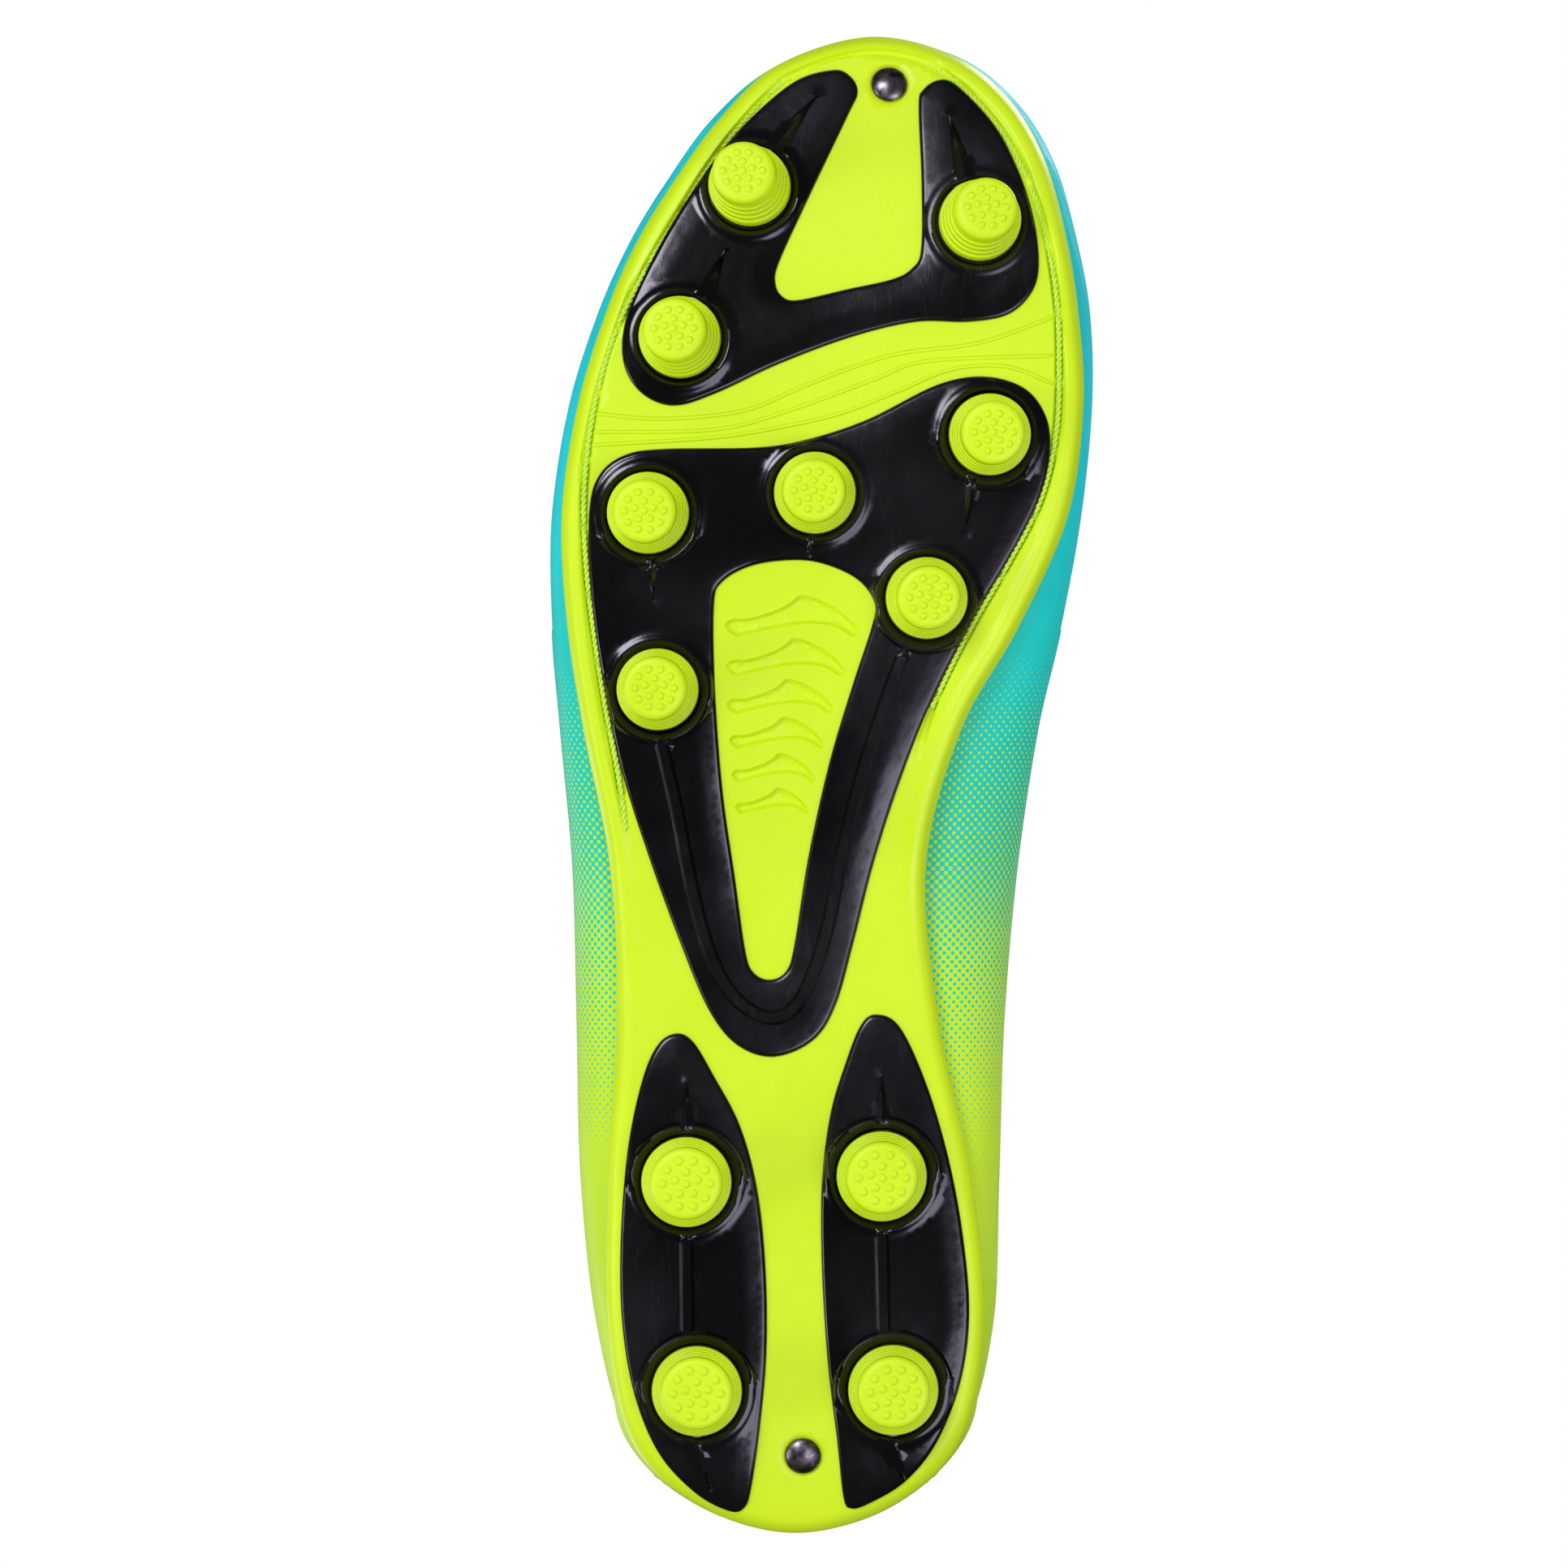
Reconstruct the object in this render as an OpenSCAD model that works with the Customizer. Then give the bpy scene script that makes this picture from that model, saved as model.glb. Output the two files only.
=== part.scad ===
// Soccer cleat, right shoe, standing on its studs. Millimetres.
// Each sub-part is drawn in last coordinates: +X to the little-toe side, +Y to the toe, +Z up.
// The finished shoe is turned half a turn, so its toe points along -Y.

/* [Sole] */
// Height of the forefoot studs (mm)
forefoot_stud = 11; // [8:0.5:13]
// Height of the heel studs (mm)
heel_stud = 13; // [10:0.5:16]
// Upward curve of the toe, height per square millimetre ahead of the ball
toe_curve = 0.00193; // [0:0.0001:0.003]
// Extra height of the waist above the heel (mm)
arch_lift = 1.5; // [0:0.1:4]
// Thickness of the outsole plate (mm)
plate_t = 2.8; // [2:0.1:4]
// Height of the plate's side wall above its underside (mm)
cup_h = 5.6; // [4:0.1:8]
// Thickness of the plate's side wall (mm)
cup_t = 1.6; // [1:0.1:2.5]
// How far the dark overlays stand proud of the plate (mm)
overlay_t = 0.9; // [0.5:0.1:1.5]

/* [Studs] */
// Base radius of the forefoot studs (mm)
stud_r = 7.8; // [6:0.1:9]
// Base radius of the heel studs (mm)
heel_r = 8.6; // [7:0.1:10]
// How much smaller the radius of a stud's flat tip is (mm)
tip_taper = 2.2; // [1.6:0.1:4]
// Lean of the toe studs with the curved toe, degrees per millimetre ahead of the ball
stud_lean = 0.22; // [0:0.01:0.3]

/* [Upper] */
// Thickness of the outer skin (mm)
skin_t = 1.2; // [0.8:0.1:2]
// Thickness of the toe puff and heel counter (mm)
stiff_t = 0.8; // [0.5:0.1:1.5]
// Thickness of the lining (mm)
lining_t = 0.8; // [0.5:0.1:1.5]
// Thickness of the collar padding (mm)
collar_t = 4.3; // [2:0.1:6]
// Radius of an eyelet hole (mm)
eyelet_r = 2; // [1.5:0.1:3]

/* [Tongue] */
// Thickness of the tongue padding (mm)
tongue_t = 4; // [2:0.5:6]
// Half width of the tongue above the top eyelets (mm)
tongue_w = 26; // [20:1:32]

/* [Hidden] */
$fn = 48;

lime = [0.83, 0.95, 0.2];
black = [0.07, 0.07, 0.08];
cyan = [0.1, 0.8, 0.85];
grey = [0.35, 0.36, 0.38];
steel = [0.3, 0.3, 0.33];

// Plate edge and widest line of the upper, in plan. Both start at the toe tip and run down the
// lateral side, round the heel and back up the medial side, one point per station.
edge_pts = [[-9, 143.1], [8.4, 137.6], [19.2, 127.5], [28.3, 114.9], [35.5, 102.9], [41.2, 89.6],
  [46.6, 71.5], [49.5, 51], [48.4, 30], [45.3, 10], [40.3, -16], [38.9, -46], [40.8, -76],
  [40.7, -104], [36, -125.8], [23, -138], [5, -143.1], [-13, -138.1], [-26.3, -125.6],
  [-31, -104], [-28.9, -76], [-22.6, -46], [-20, -16], [-26.6, 10], [-37.7, 30], [-47, 51],
  [-50, 72], [-49.1, 89.5], [-46.9, 104], [-42.7, 119.4], [-35.6, 131.4], [-24.8, 139.7]];
bulge_pts = [[-9, 142.8], [8.6, 137.9], [20.6, 128], [30, 115], [37, 103.2], [43, 89.5],
  [48.4, 72], [51.6, 51], [51.5, 30], [50, 10], [47.7, -16], [46.9, -46], [46.1, -76],
  [43, -104], [36.6, -125.6], [23, -138], [5, -142.9], [-13, -138.2], [-27, -125],
  [-33, -104], [-34.2, -76], [-35.2, -46], [-37.8, -16], [-41.6, 10], [-46, 30], [-49.8, 51],
  [-51.9, 72], [-51.6, 89.5], [-49.1, 104], [-44.7, 119.3], [-37, 131.7], [-25.2, 140.2]];
// Ridge of the upper at each station: x, y, height, fullness of the section, top-edge angle.
spine_pts = [[-6, 112, 53, 0.85, 72], [-6, 111.4, 53.1, 0.85, 72], [-6, 110, 53.2, 0.85, 72],
  [-6, 106.5, 53.5, 0.85, 72], [-5.8, 99.5, 54.3, 0.85, 72], [-5.6, 88, 56.3, 0.85, 72],
  [-5.4, 71.5, 60, 0.87, 72], [-5.2, 51, 65.5, 0.9, 72], [-4.8, 30, 72, 0.95, 72],
  [-4, 10, 78.5, 1.05, 68], [-2, -16, 86.5, 1.2, 61], [2, -46, 97, 1.4, 56],
  [5, -76, 125, 3, 21.5], [5, -99, 145, 3, 21], [5, -106, 147, 2.6, 24.5],
  [5, -108.5, 148, 2.3, 26.8], [5, -109.5, 148, 2.2, 27]];

// Outlines of the dark overlays, in plan.
toe_pts = [[-2, 136.5], [-5.5, 135.4], [-7, 132.2], [-5, 127.5], [2.5, 111.6], [8, 99.5], [8.7, 95.5],
  [7.5, 93], [4.5, 92.2], [-5, 94.3], [-13.5, 96.2], [-17.3, 98.3], [-19, 102], [-19.1, 115.2],
  [-18.6, 129.6], [-19.5, 132.7], [-22.5, 134.6], [-26, 133.5], [-33, 126], [-37.6, 117.2],
  [-40.5, 108.1], [-41.5, 99], [-40, 93.5], [-35.5, 89.4], [-28, 88], [-18, 88], [-6, 85.2],
  [8, 80], [20, 74.4], [28, 72], [34, 74.2], [37.5, 79.5], [37.6, 87], [34, 96.5], [26.5, 110.1],
  [17, 123.4], [6, 133.7]];
ball_pts = [[-31, 77.6], [-38.5, 75.5], [-42.6, 70.5], [-43.6, 64], [-42, 55.5], [-37, 45],
  [-28.5, 30.5], [-20.5, 14.5], [-14.8, 0], [-10, -15], [-6.2, -30], [-2.8, -42], [1.5, -48.8],
  [9, -52], [16, -49.8], [21.5, -43], [27, -30], [33, -13.5], [38.3, 3.5], [42, 22], [44, 38],
  [44.2, 52], [42.3, 58.8], [37.5, 62.6], [30, 63.8], [12, 64.1], [2, 65.8], [-9, 69.5], [-22, 76]];
window_pts = [[5, 42.6], [13, 41.6], [18.8, 38.5], [20.4, 34], [20.2, 18], [18.8, -1], [16.4, -18],
  [14.4, -32], [12.8, -36], [9.8, -37.3], [6.8, -35.8], [5.2, -31], [2.5, -14], [-1.5, 4],
  [-6, 19], [-9.6, 30], [-10.1, 34.5], [-7, 38.8], [-1, 41.7]];
heel_lateral_pts = [[27.5, -47.5], [24.3, -49.2], [20.5, -55.5], [15.5, -65], [12.2, -77],
  [10.6, -92], [10.4, -108], [11.6, -122], [13.3, -134], [14.6, -138], [17.5, -138.7],
  [24, -135.2], [31, -127.5], [35.7, -116], [38, -102], [38.2, -86], [36.8, -69], [34, -56],
  [31, -49.5]];
heel_medial_pts = [[-10.5, -43.9], [-7.5, -46], [-4.5, -53.5], [-1.7, -63], [-0.1, -76],
  [-0.1, -92], [-1.2, -110], [-3, -125], [-4.2, -136], [-5.6, -138.2], [-9, -137.3],
  [-16, -133], [-22, -125.5], [-26.5, -114], [-28.2, -101], [-27, -86], [-24.2, -71],
  [-20, -57], [-15, -46.3]];
// Stitch line round the forefoot and the raised V rib of the ball overlay.
stitch_pts = [[37.2, -9], [38.7, 2], [41, 14], [43.2, 28], [44.8, 42], [45.2, 55], [43.6, 70],
  [40, 84], [34.5, 96], [27, 109.1], [18.5, 121.9], [9, 132.7], [0, 138.4], [-10, 140], [-20, 137.9],
  [-29, 131.1], [-37, 120.3], [-42.2, 107.1], [-44.8, 93], [-45.3, 79], [-44.6, 66],
  [-41.5, 53.5], [-35, 41], [-27.5, 28], [-21, 14.5], [-17.4, 2]];
rib_pts = [[30.5, 8], [27.5, -5], [25, -18], [22, -30], [18.5, -38], [14.5, -42.5], [9.5, -44.6],
  [5, -42.5], [1.5, -36], [-1.5, -26], [-4, -13], [-7.5, 1], [-11.5, 13.5], [-15.5, 24.5]];

// Stud centres.
toe_lateral_front = [13.5, 113.8];
toe_lateral_rear = [26.8, 84.9];
toe_medial = [-30.1, 107.2];
ball_medial_front = [-32, 66.5];
ball_center = [1.2, 55.4];
ball_lateral_front = [32.9, 51.6];
ball_medial_rear = [-20, 35.4];
ball_lateral_rear = [31.1, 18];
heel_lateral_front = [25.7, -75.8];
heel_medial_front = [-11.5, -74.7];
heel_lateral_rear = [23.7, -115.6];
heel_medial_rear = [-13.7, -115.4];
ball_studs = [ball_medial_front, ball_center, ball_lateral_front, ball_medial_rear,
  ball_lateral_rear];
heel_studs = [heel_lateral_front, heel_medial_front, heel_lateral_rear, heel_medial_rear];
toe_studs = [toe_lateral_front, toe_lateral_rear, toe_medial];
toe_rivet_at = [-13, 133.7];
heel_rivet_at = [3.5, -128];

// Flex line across the forefoot, and the height of the flex axis.
flex_y = 75.5;
flex_slope = -0.25;
flex_z = 18.2;
row_a = [0, 1, 1.4, 1.7, 2, 2.13, 2.27, 2.41, 2.55, 2.68, 2.8, 2.9, 3];

// Curves --------------------------------------------------------------------------------------
function clamp(x, a, b) = min(max(x, a), b);
function ease(x) = let(t = clamp(x, 0, 1)) t * t * (3 - 2 * t);
function mix(a, b, t) = a + (b - a) * t;
function unit(v) = v / norm(v);
function cr(a, b, c, d, t) = 0.5 * (2 * b + (c - a) * t + (2 * a - 5 * b + 4 * c - d) * t * t
  + (3 * b - 3 * c + d - a) * t * t * t);
function at(q, s) = let(n = len(q), i = floor(s), f = s - i)
  cr(q[(i - 1 + n) % n], q[i % n], q[(i + 1) % n], q[(i + 2) % n], f);
function mirrored(i) = let(j = abs(i)) j > 16 ? 32 - j : j;
function spine(t) = let(i = floor(t), f = t - i)
  cr(spine_pts[mirrored(i - 1)], spine_pts[mirrored(i)], spine_pts[mirrored(i + 1)],
  spine_pts[mirrored(i + 2)], f);
function loop(q, n) = [for (i = [0:len(q) - 1], j = [0:n - 1]) at(q, i + j / n)];
function run(q, n) = [for (i = [0:len(q) - 2], j = [0:n - 1])
  cr(q[max(i - 1, 0)], q[i], q[i + 1], q[min(i + 2, len(q) - 1)], j / n), q[len(q) - 1]];
function side_of(q, i) = let(d = unit(q[min(i + 1, len(q) - 1)] - q[max(i - 1, 0)])) [-d[1], d[0]];
function band(q, w) = concat([for (i = [0:len(q) - 1]) q[i] + w / 2 * side_of(q, i)],
  [for (i = [len(q) - 1:-1:0]) q[i] - w / 2 * side_of(q, i)]);

// Underside of the sole against the length of the shoe.
function sole_z(y) = forefoot_stud + toe_curve * pow(max(y - 60, 0), 2)
  + (heel_stud - forefoot_stud) * ease((30 - y) / 60)
  + arch_lift * pow(cos(90 * clamp((y + 30) / 45, -1, 1)), 2)
  + 0.0083 * pow(max(-120 - y, 0), 2);

// Plate edge moved inward by d at station s (0 toe tip, 16 heel, 32 toe tip again).
function turn(s) = s - 32 * floor(s / 32);
function inward(s) = let(v = unit(at(edge_pts, turn(s + 0.05)) - at(edge_pts, turn(s - 0.05))))
  [v[1], -v[0]];
function rim(s, d) = at(edge_pts, turn(s)) + d * inward(s);
function rim_loop(d) = [for (i = [0:127]) rim(i / 4, d)];

// Surface of the upper: s runs round the shoe, a runs up it
// (0 to 1 inside the plate wall, 1 to 2 out to the widest line, 2 to 3 over to the ridge).
function half(s) = min(turn(s), 32 - turn(s));
function lift(s, y) = 17.5 - y / 30
  + (turn(s) > 16 ? 4 * pow(cos(90 * clamp((y + 16) / 60, -1, 1)), 2) : 0);
function skin(s, a) = let(f = rim(s, 1.9), b = at(bulge_pts, turn(s)), c = spine(half(s)),
  low = sole_z(f[1]) + plate_t + 0.05, lip = sole_z(f[1]) + cup_h + 0.6,
  wide = sole_z(b[1]) + lift(s, b[1]))
  a <= 1 ? [f[0], f[1], mix(low, lip, a)]
  : a <= 2 ? let(w = 90 * (a - 1)) [mix(f[0], b[0], sin(w)), mix(f[1], b[1], sin(w)),
    mix(lip, wide, 1 - cos(w))]
  : let(w = 90 * (a - 2), g = pow(max(cos(w), 0), c[3]))
    [mix(c[0], b[0], g), mix(c[1], b[1], g), mix(wide, c[2], sin(w))];
function ridge_out(s) = let(t = half(s), p = spine(t), q = spine(max(t - 0.3, 0)),
  d = abs(p[1] - q[1])) d < 0.2 ? [0, 0, 1] : unit([0, (p[2] - q[2]) / d, 1]);
function out(s, a) = a > 2.98 ? ridge_out(s)
  : unit(cross(skin(s, a + 0.02) - skin(s, a - 0.02), skin(s + 0.03, a) - skin(s - 0.03, a)));
function layer(s, a, d) = skin(s, a) + d * out(s, a);
function top_a(s) = 2 + spine(half(s))[4] / 90;
// Height fraction of a row, and the front and rear edges of the flexing part of the vamp.
function rise(a) = a <= 1 ? 0 : a <= 2 ? 0.2 * (1 - cos(90 * (a - 1))) : 0.2 + 0.8 * sin(90 * (a - 2));
function flex_front(a, lateral) = mix(lateral ? 6.2 : 4.83, 4.45, rise(a));
function flex_rear(a, lateral) = mix(lateral ? 6.62 : 5.32, 6.6, rise(a))
  + 1.1 * ease((a - 2.5) / 0.3) - 0.25 * ease((a - 2.8) / 0.2);

// Solids between two point grids --------------------------------------------------------------
function flat(g) = [for (r = g) for (p = r) p];
function quad(a, b, c, d) = [[a, b, c], [a, c, d]];
module sheet(o, i) {
  m = len(o);
  n = len(o[0]);
  k = m * n;
  faces = concat(
    [for (u = [0:m - 2], v = [0:n - 2]) for (f = quad(u * n + v, u * n + v + 1,
      (u + 1) * n + v + 1, (u + 1) * n + v)) f],
    [for (u = [0:m - 2], v = [0:n - 2]) for (f = quad(k + u * n + v, k + (u + 1) * n + v,
      k + (u + 1) * n + v + 1, k + u * n + v + 1)) f],
    [for (u = [0:m - 2]) for (f = quad(u * n, (u + 1) * n, k + (u + 1) * n, k + u * n)) f],
    [for (u = [0:m - 2]) for (f = quad((u + 1) * n - 1, k + (u + 1) * n - 1,
      k + (u + 2) * n - 1, (u + 2) * n - 1)) f],
    [for (v = [0:n - 2]) for (f = quad(v, k + v, k + v + 1, v + 1)) f],
    [for (v = [0:n - 2]) for (f = quad((m - 1) * n + v, (m - 1) * n + v + 1,
      k + (m - 1) * n + v + 1, k + (m - 1) * n + v)) f]);
  polyhedron(points = concat(flat(o), flat(i)), faces = faces, convexity = 8);
}
// A sheet folded on its first column: row v and row n-1-v share the points of column 0.
module cap(o, i) {
  m = len(o);
  n = len(o[0]);
  h = (n - 1) / 2;
  k = h + 1 + (m - 1) * n;
  function at0(u, v) = u > 0 ? h + 1 + (u - 1) * n + v : abs(v - h);
  function rows(g) = concat([for (v = [h:n - 1]) g[0][v]], flat([for (u = [1:m - 1]) g[u]]));
  faces = concat(
    [for (u = [0:m - 2], v = [0:n - 2]) for (f = quad(at0(u, v), at0(u, v + 1),
      at0(u + 1, v + 1), at0(u + 1, v))) f],
    [for (u = [0:m - 2], v = [0:n - 2]) for (f = quad(k + at0(u, v), k + at0(u + 1, v),
      k + at0(u + 1, v + 1), k + at0(u, v + 1))) f],
    [for (u = [0:m - 2]) for (f = quad(at0(u, 0), at0(u + 1, 0), k + at0(u + 1, 0),
      k + at0(u, 0))) f],
    [for (u = [0:m - 2]) for (f = quad(at0(u, n - 1), k + at0(u, n - 1), k + at0(u + 1, n - 1),
      at0(u + 1, n - 1))) f],
    [for (v = [0:n - 2]) for (f = quad(at0(m - 1, v), at0(m - 1, v + 1), k + at0(m - 1, v + 1),
      k + at0(m - 1, v))) f]);
  polyhedron(points = concat(rows(o), rows(i)), faces = faces, convexity = 8);
}

// Rows across the shoe, from the medial edge over the ridge to the lateral edge.
rows_across = [for (j = [-12:12]) [j < 0, row_a[12 - abs(j)]]];
function across(t, medial, a, d) = layer(medial && a < 2.99 ? 32 - t : t, a, d);
function toe_grid(n, d) = [for (i = [0:n]) [for (r = rows_across)
  across(flex_front(r[1], !r[0]) * i / n, r[0], r[1], d)]];
function flex_grid(n, d) = [for (i = [0:n]) [for (r = rows_across)
  across(mix(flex_front(r[1], !r[0]) + 0.03, flex_rear(r[1], !r[0]) - 0.03, i / n),
  r[0], r[1], d)]];
function throat(a) = 7.66 - 0.25 * ease((a - 2.8) / 0.2);
function cover_grid(n, d) = [for (i = [0:n]) [for (r = rows_across)
  across(throat(r[1]) * i / n, r[0], r[1], d)]];
// Rows up a wall from the plate to the top edge.
wall_u = [0, 1, 1.4, 1.7, 2, 2.17, 2.33, 2.42, 2.5, 2.58, 2.67, 2.83, 3];
function wall_a(s, u) = u <= 2 ? u : 2 + (u - 2) * (top_a(s) - 2);
function wall_grid(ss, us, d) = [for (s = ss) [for (u = us) layer(s, wall_a(s, u), d)]];
function quarter_grid(lateral, n, d) = [for (i = [0:n]) [for (u = wall_u)
  let(t = mix(flex_rear(wall_a(7.6, u), lateral), 13.47, i / n), s = lateral ? t : 32 - t)
  layer(s, wall_a(s, u), d)]];
// The lining leaves room for the stiffeners, and for the padding near the collar.
function pad_depth(s, u) = collar_t * ease((u - 2.4) / 0.25) * ease((half(s) - 10.6) / 0.8);
function lining_grid(ss, d) = [for (s = ss) [for (u = wall_u)
  layer(s, wall_a(s, u), d - pad_depth(s, u))]];

module shoe() rotate([0, 0, 180]) children();
module prism(q, lo, hi) translate([0, 0, lo]) linear_extrude(hi - lo) polygon(q);
// Curved slab that follows the underside of the sole, from lo to hi above it.
module slab(lo, hi, y0 = -146, y1 = 146, step = 4) {
  ys = [for (i = [0:round((y1 - y0) / step)]) y0 + i * step];
  rotate([90, 0, 90]) linear_extrude(130, center = true)
    polygon(concat([for (y = ys) [y, sole_z(y) + lo]],
      [for (i = [len(ys) - 1:-1:0]) [ys[i], sole_z(ys[i]) + hi]]));
}
// Half of the sole ahead of (front) or behind the flex line, less half a gap.
module sole_half(front, gap = 0.4) {
  y = flex_y + (front ? gap / 2 : -gap / 2);
  far = front ? 160 : -160;
  translate([0, 0, -1]) linear_extrude(60) polygon([[-80, y - 80 * flex_slope],
    [80, y + 80 * flex_slope], [80, far], [-80, far]]);
}
// Slope of the underside, and the lean of a toe stud.
function sole_slope(y) = atan((sole_z(y + 1) - sole_z(y - 1)) / 2);
function toe_lean(y) = stud_lean * (y - 60);
module at_sole(p, lean = 0) translate([p[0], p[1], sole_z(p[1])]) rotate([lean, 0, 0]) children();
module bores(list, r, lean = false) for (p = list) at_sole(p, lean ? toe_lean(p[1]) : 0)
  translate([0, 0, -4]) cylinder(h = 5.4, r = r);
module at_rivet(p) at_sole(p, sole_slope(p[1])) children();

// Sole ----------------------------------------------------------------------------------------
module plate(front) {
  difference() {
    intersection() {
      prism(rim_loop(0), 5, 45);
      slab(0, cup_h);
      sole_half(front);
    }
    intersection() {
      prism(rim_loop(cup_t), 5, 46);
      slab(plate_t, cup_h + 3);
    }
    intersection() {
      prism(band(run(stitch_pts, 3), 1.4), 5, 45);
      slab(-1, 0.9);
    }
    bores(front ? toe_studs : ball_studs, 6.8, front);
    if (!front) bores(heel_studs, 7.6);
    at_rivet(front ? toe_rivet_at : heel_rivet_at) translate([0, 0, -1]) cylinder(h = 6, r = 1.6);
  }
}
module plate_front() color(lime) shoe() plate(true);
module plate_rear() color(lime) shoe() plate(false);

module collars(list, r, skirt) for (p = list) at_sole(p) translate([0, 0, -overlay_t - 0.7])
  difference() {
    cylinder(h = 1.2, r1 = r + 1.9, r2 = r + skirt);
    translate([0, 0, -1]) cylinder(h = 4, r = r + 0.8);
  }
module overlay(q, list, r, lean = false) difference() {
  intersection() {
    prism(q, 5, 45);
    slab(-overlay_t, -0.02);
  }
  bores(list, r + 0.8, lean);
}
module fin(p, q, w) intersection() {
  prism([p + w / 2 * side_of([p, q], 0), q, p - w / 2 * side_of([p, q], 0)], 2, 45);
  slab(-overlay_t - 0.7, -0.3);
}
module toe_overlay() color(black) shoe() {
  overlay(loop(toe_pts, 4), toe_studs, stud_r, true);
  fin([8.5, 122.9], [1, 130.5], 3);
  fin([21.8, 94], [18.3, 101], 3);
  fin([-27.4, 116.4], [-24.5, 127], 3);
}
module ball_overlay() color(black) shoe() {
  difference() {
    union() {
      overlay(loop(ball_pts, 4), ball_studs, stud_r);
      intersection() {
        prism(band(run(rib_pts, 3), 2.6), 2, 45);
        slab(-overlay_t - 0.7, -0.3);
      }
      collars([ball_medial_rear, ball_lateral_rear, ball_medial_front, ball_lateral_front],
        stud_r, 2.4);
    }
    prism(loop(window_pts, 4), 2, 45);
    bores(ball_studs, stud_r + 0.8);
  }
}
module heel_overlay(q, front, rear) difference() {
  union() {
    overlay(loop(q, 4), [front, rear], heel_r);
    collars([front, rear], heel_r, 2.4);
    intersection() {
      prism(band([[rear[0] + 2, rear[1] + 11], [front[0], front[1] - 11]], 3), 2, 45);
      slab(-overlay_t - 0.7, -0.3);
    }
    fin([front[0], front[1] + 10.6], [front[0], front[1] + 18], 3);
    fin([rear[0], rear[1] - 10.6], [rear[0] - 2, rear[1] - 17], 3);
  }
  bores([front, rear], heel_r + 0.8);
}
module heel_overlay_lateral() color(black) shoe()
  heel_overlay(heel_lateral_pts, heel_lateral_front, heel_lateral_rear);
module heel_overlay_medial() color(black) shoe()
  heel_overlay(heel_medial_pts, heel_medial_front, heel_medial_rear);

// Stud with terraces; its root sits in a socket of the plate.
module stud(p, r, h, lean = 0) color(lime) shoe() at_sole(p, lean) rotate_extrude()
  polygon([[0, 1.35], [r - 1.05, 1.35], [r - 1.05, -0.25], [r - 0.1, -0.3], [r, -0.6],
  [r - 0.3, -h * 0.3], [r - 0.55, -h * 0.34], [r - 0.7, -h * 0.52], [r - 0.95, -h * 0.56],
  [r - 1.1, -h * 0.72], [r - 1.35, -h * 0.76], [r - 1.5, -h + 1], [r - tip_taper, -h], [0, -h]]);
module toe_stud(p) stud(p, stud_r, forefoot_stud - 0.5, toe_lean(p[1]));
module low_stud(p, r) stud(p, r, sole_z(p[1]));
module stud_toe_lateral_front() toe_stud(toe_lateral_front);
module stud_toe_lateral_rear() toe_stud(toe_lateral_rear);
module stud_toe_medial() toe_stud(toe_medial);
module stud_ball_medial_front() low_stud(ball_medial_front, stud_r);
module stud_ball_center() low_stud(ball_center, stud_r);
module stud_ball_lateral_front() low_stud(ball_lateral_front, stud_r);
module stud_ball_medial_rear() low_stud(ball_medial_rear, stud_r);
module stud_ball_lateral_rear() low_stud(ball_lateral_rear, stud_r);
module stud_heel_lateral_front() low_stud(heel_lateral_front, heel_r);
module stud_heel_medial_front() low_stud(heel_medial_front, heel_r);
module stud_heel_lateral_rear() low_stud(heel_lateral_rear, heel_r);
module stud_heel_medial_rear() low_stud(heel_medial_rear, heel_r);

// Domed rivets that clench the plate to the insole board.
module rivet(p) color(steel) shoe() at_rivet(p) rotate_extrude()
  polygon([[0, 2.5], [1.55, 2.5], [1.55, -0.1], [3.4, -0.1], [3.3, -0.5], [2.5, -1],
  [1.3, -1.35], [0, -1.45]]);
module toe_rivet() rivet(toe_rivet_at);
module heel_rivet() rivet(heel_rivet_at);

module sole_stitch() color([0.7, 0.9, 0.2]) shoe() intersection() {
  prism(band(run([for (i = [0:24]) stitch_pts[i]], 3), 1), 5, 45);
  slab(0.2, 0.85);
}
module insole_board() color([0.85, 0.83, 0.78]) shoe() intersection() {
  prism([for (i = [0:63]) rim(i / 2, 5.4)], 5, 45);
  slab(plate_t + 0.03, plate_t + 1.5);
}
module sock_liner() color(grey) shoe() intersection() {
  prism([for (i = [0:63]) rim(i / 2, 5.6)], 5, 45);
  slab(plate_t + 1.55, plate_t + 5);
}

// Upper ---------------------------------------------------------------------------------------
puff_0 = -skin_t - 0.3;
lining_0 = puff_0 - stiff_t - 0.3;
// Stations round the heel, n each side of its middle, shared by all the layers there.
function round_heel(n) = [for (i = [-n:n]) 16 + 0.415 * i];
module toe_panel() color(cyan) shoe() cap(toe_grid(14, 0), toe_grid(14, -skin_t));
module vamp_panel() color(cyan) shoe() sheet(flex_grid(5, 0), flex_grid(5, -skin_t));
module eyelets(lateral) for (i = [0:5]) {
  t = 8.15 + i * 0.5 + (i > 3 ? (i - 3) * 0.08 : 0);
  s = lateral ? t : 32 - t;
  a = top_a(s) - 0.085;
  p = skin(s, a);
  n = out(s, a);
  translate(p) rotate([0, acos(n[2]), atan2(n[1], n[0])])
    cylinder(h = 14, r = eyelet_r, center = true, $fn = 20);
}
module quarter(lateral) difference() {
  if (lateral) sheet(quarter_grid(true, 16, 0), quarter_grid(true, 16, -skin_t));
  else sheet(quarter_grid(false, 16, -skin_t), quarter_grid(false, 16, 0));
  eyelets(lateral);
}
module quarter_lateral() color([0.3, 0.85, 0.6]) shoe() quarter(true);
module quarter_medial() color([0.3, 0.85, 0.6]) shoe() quarter(false);
module heel_panel() color(lime) shoe() sheet(wall_grid(round_heel(6), wall_u, 0),
  wall_grid(round_heel(6), wall_u, -skin_t));
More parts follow.
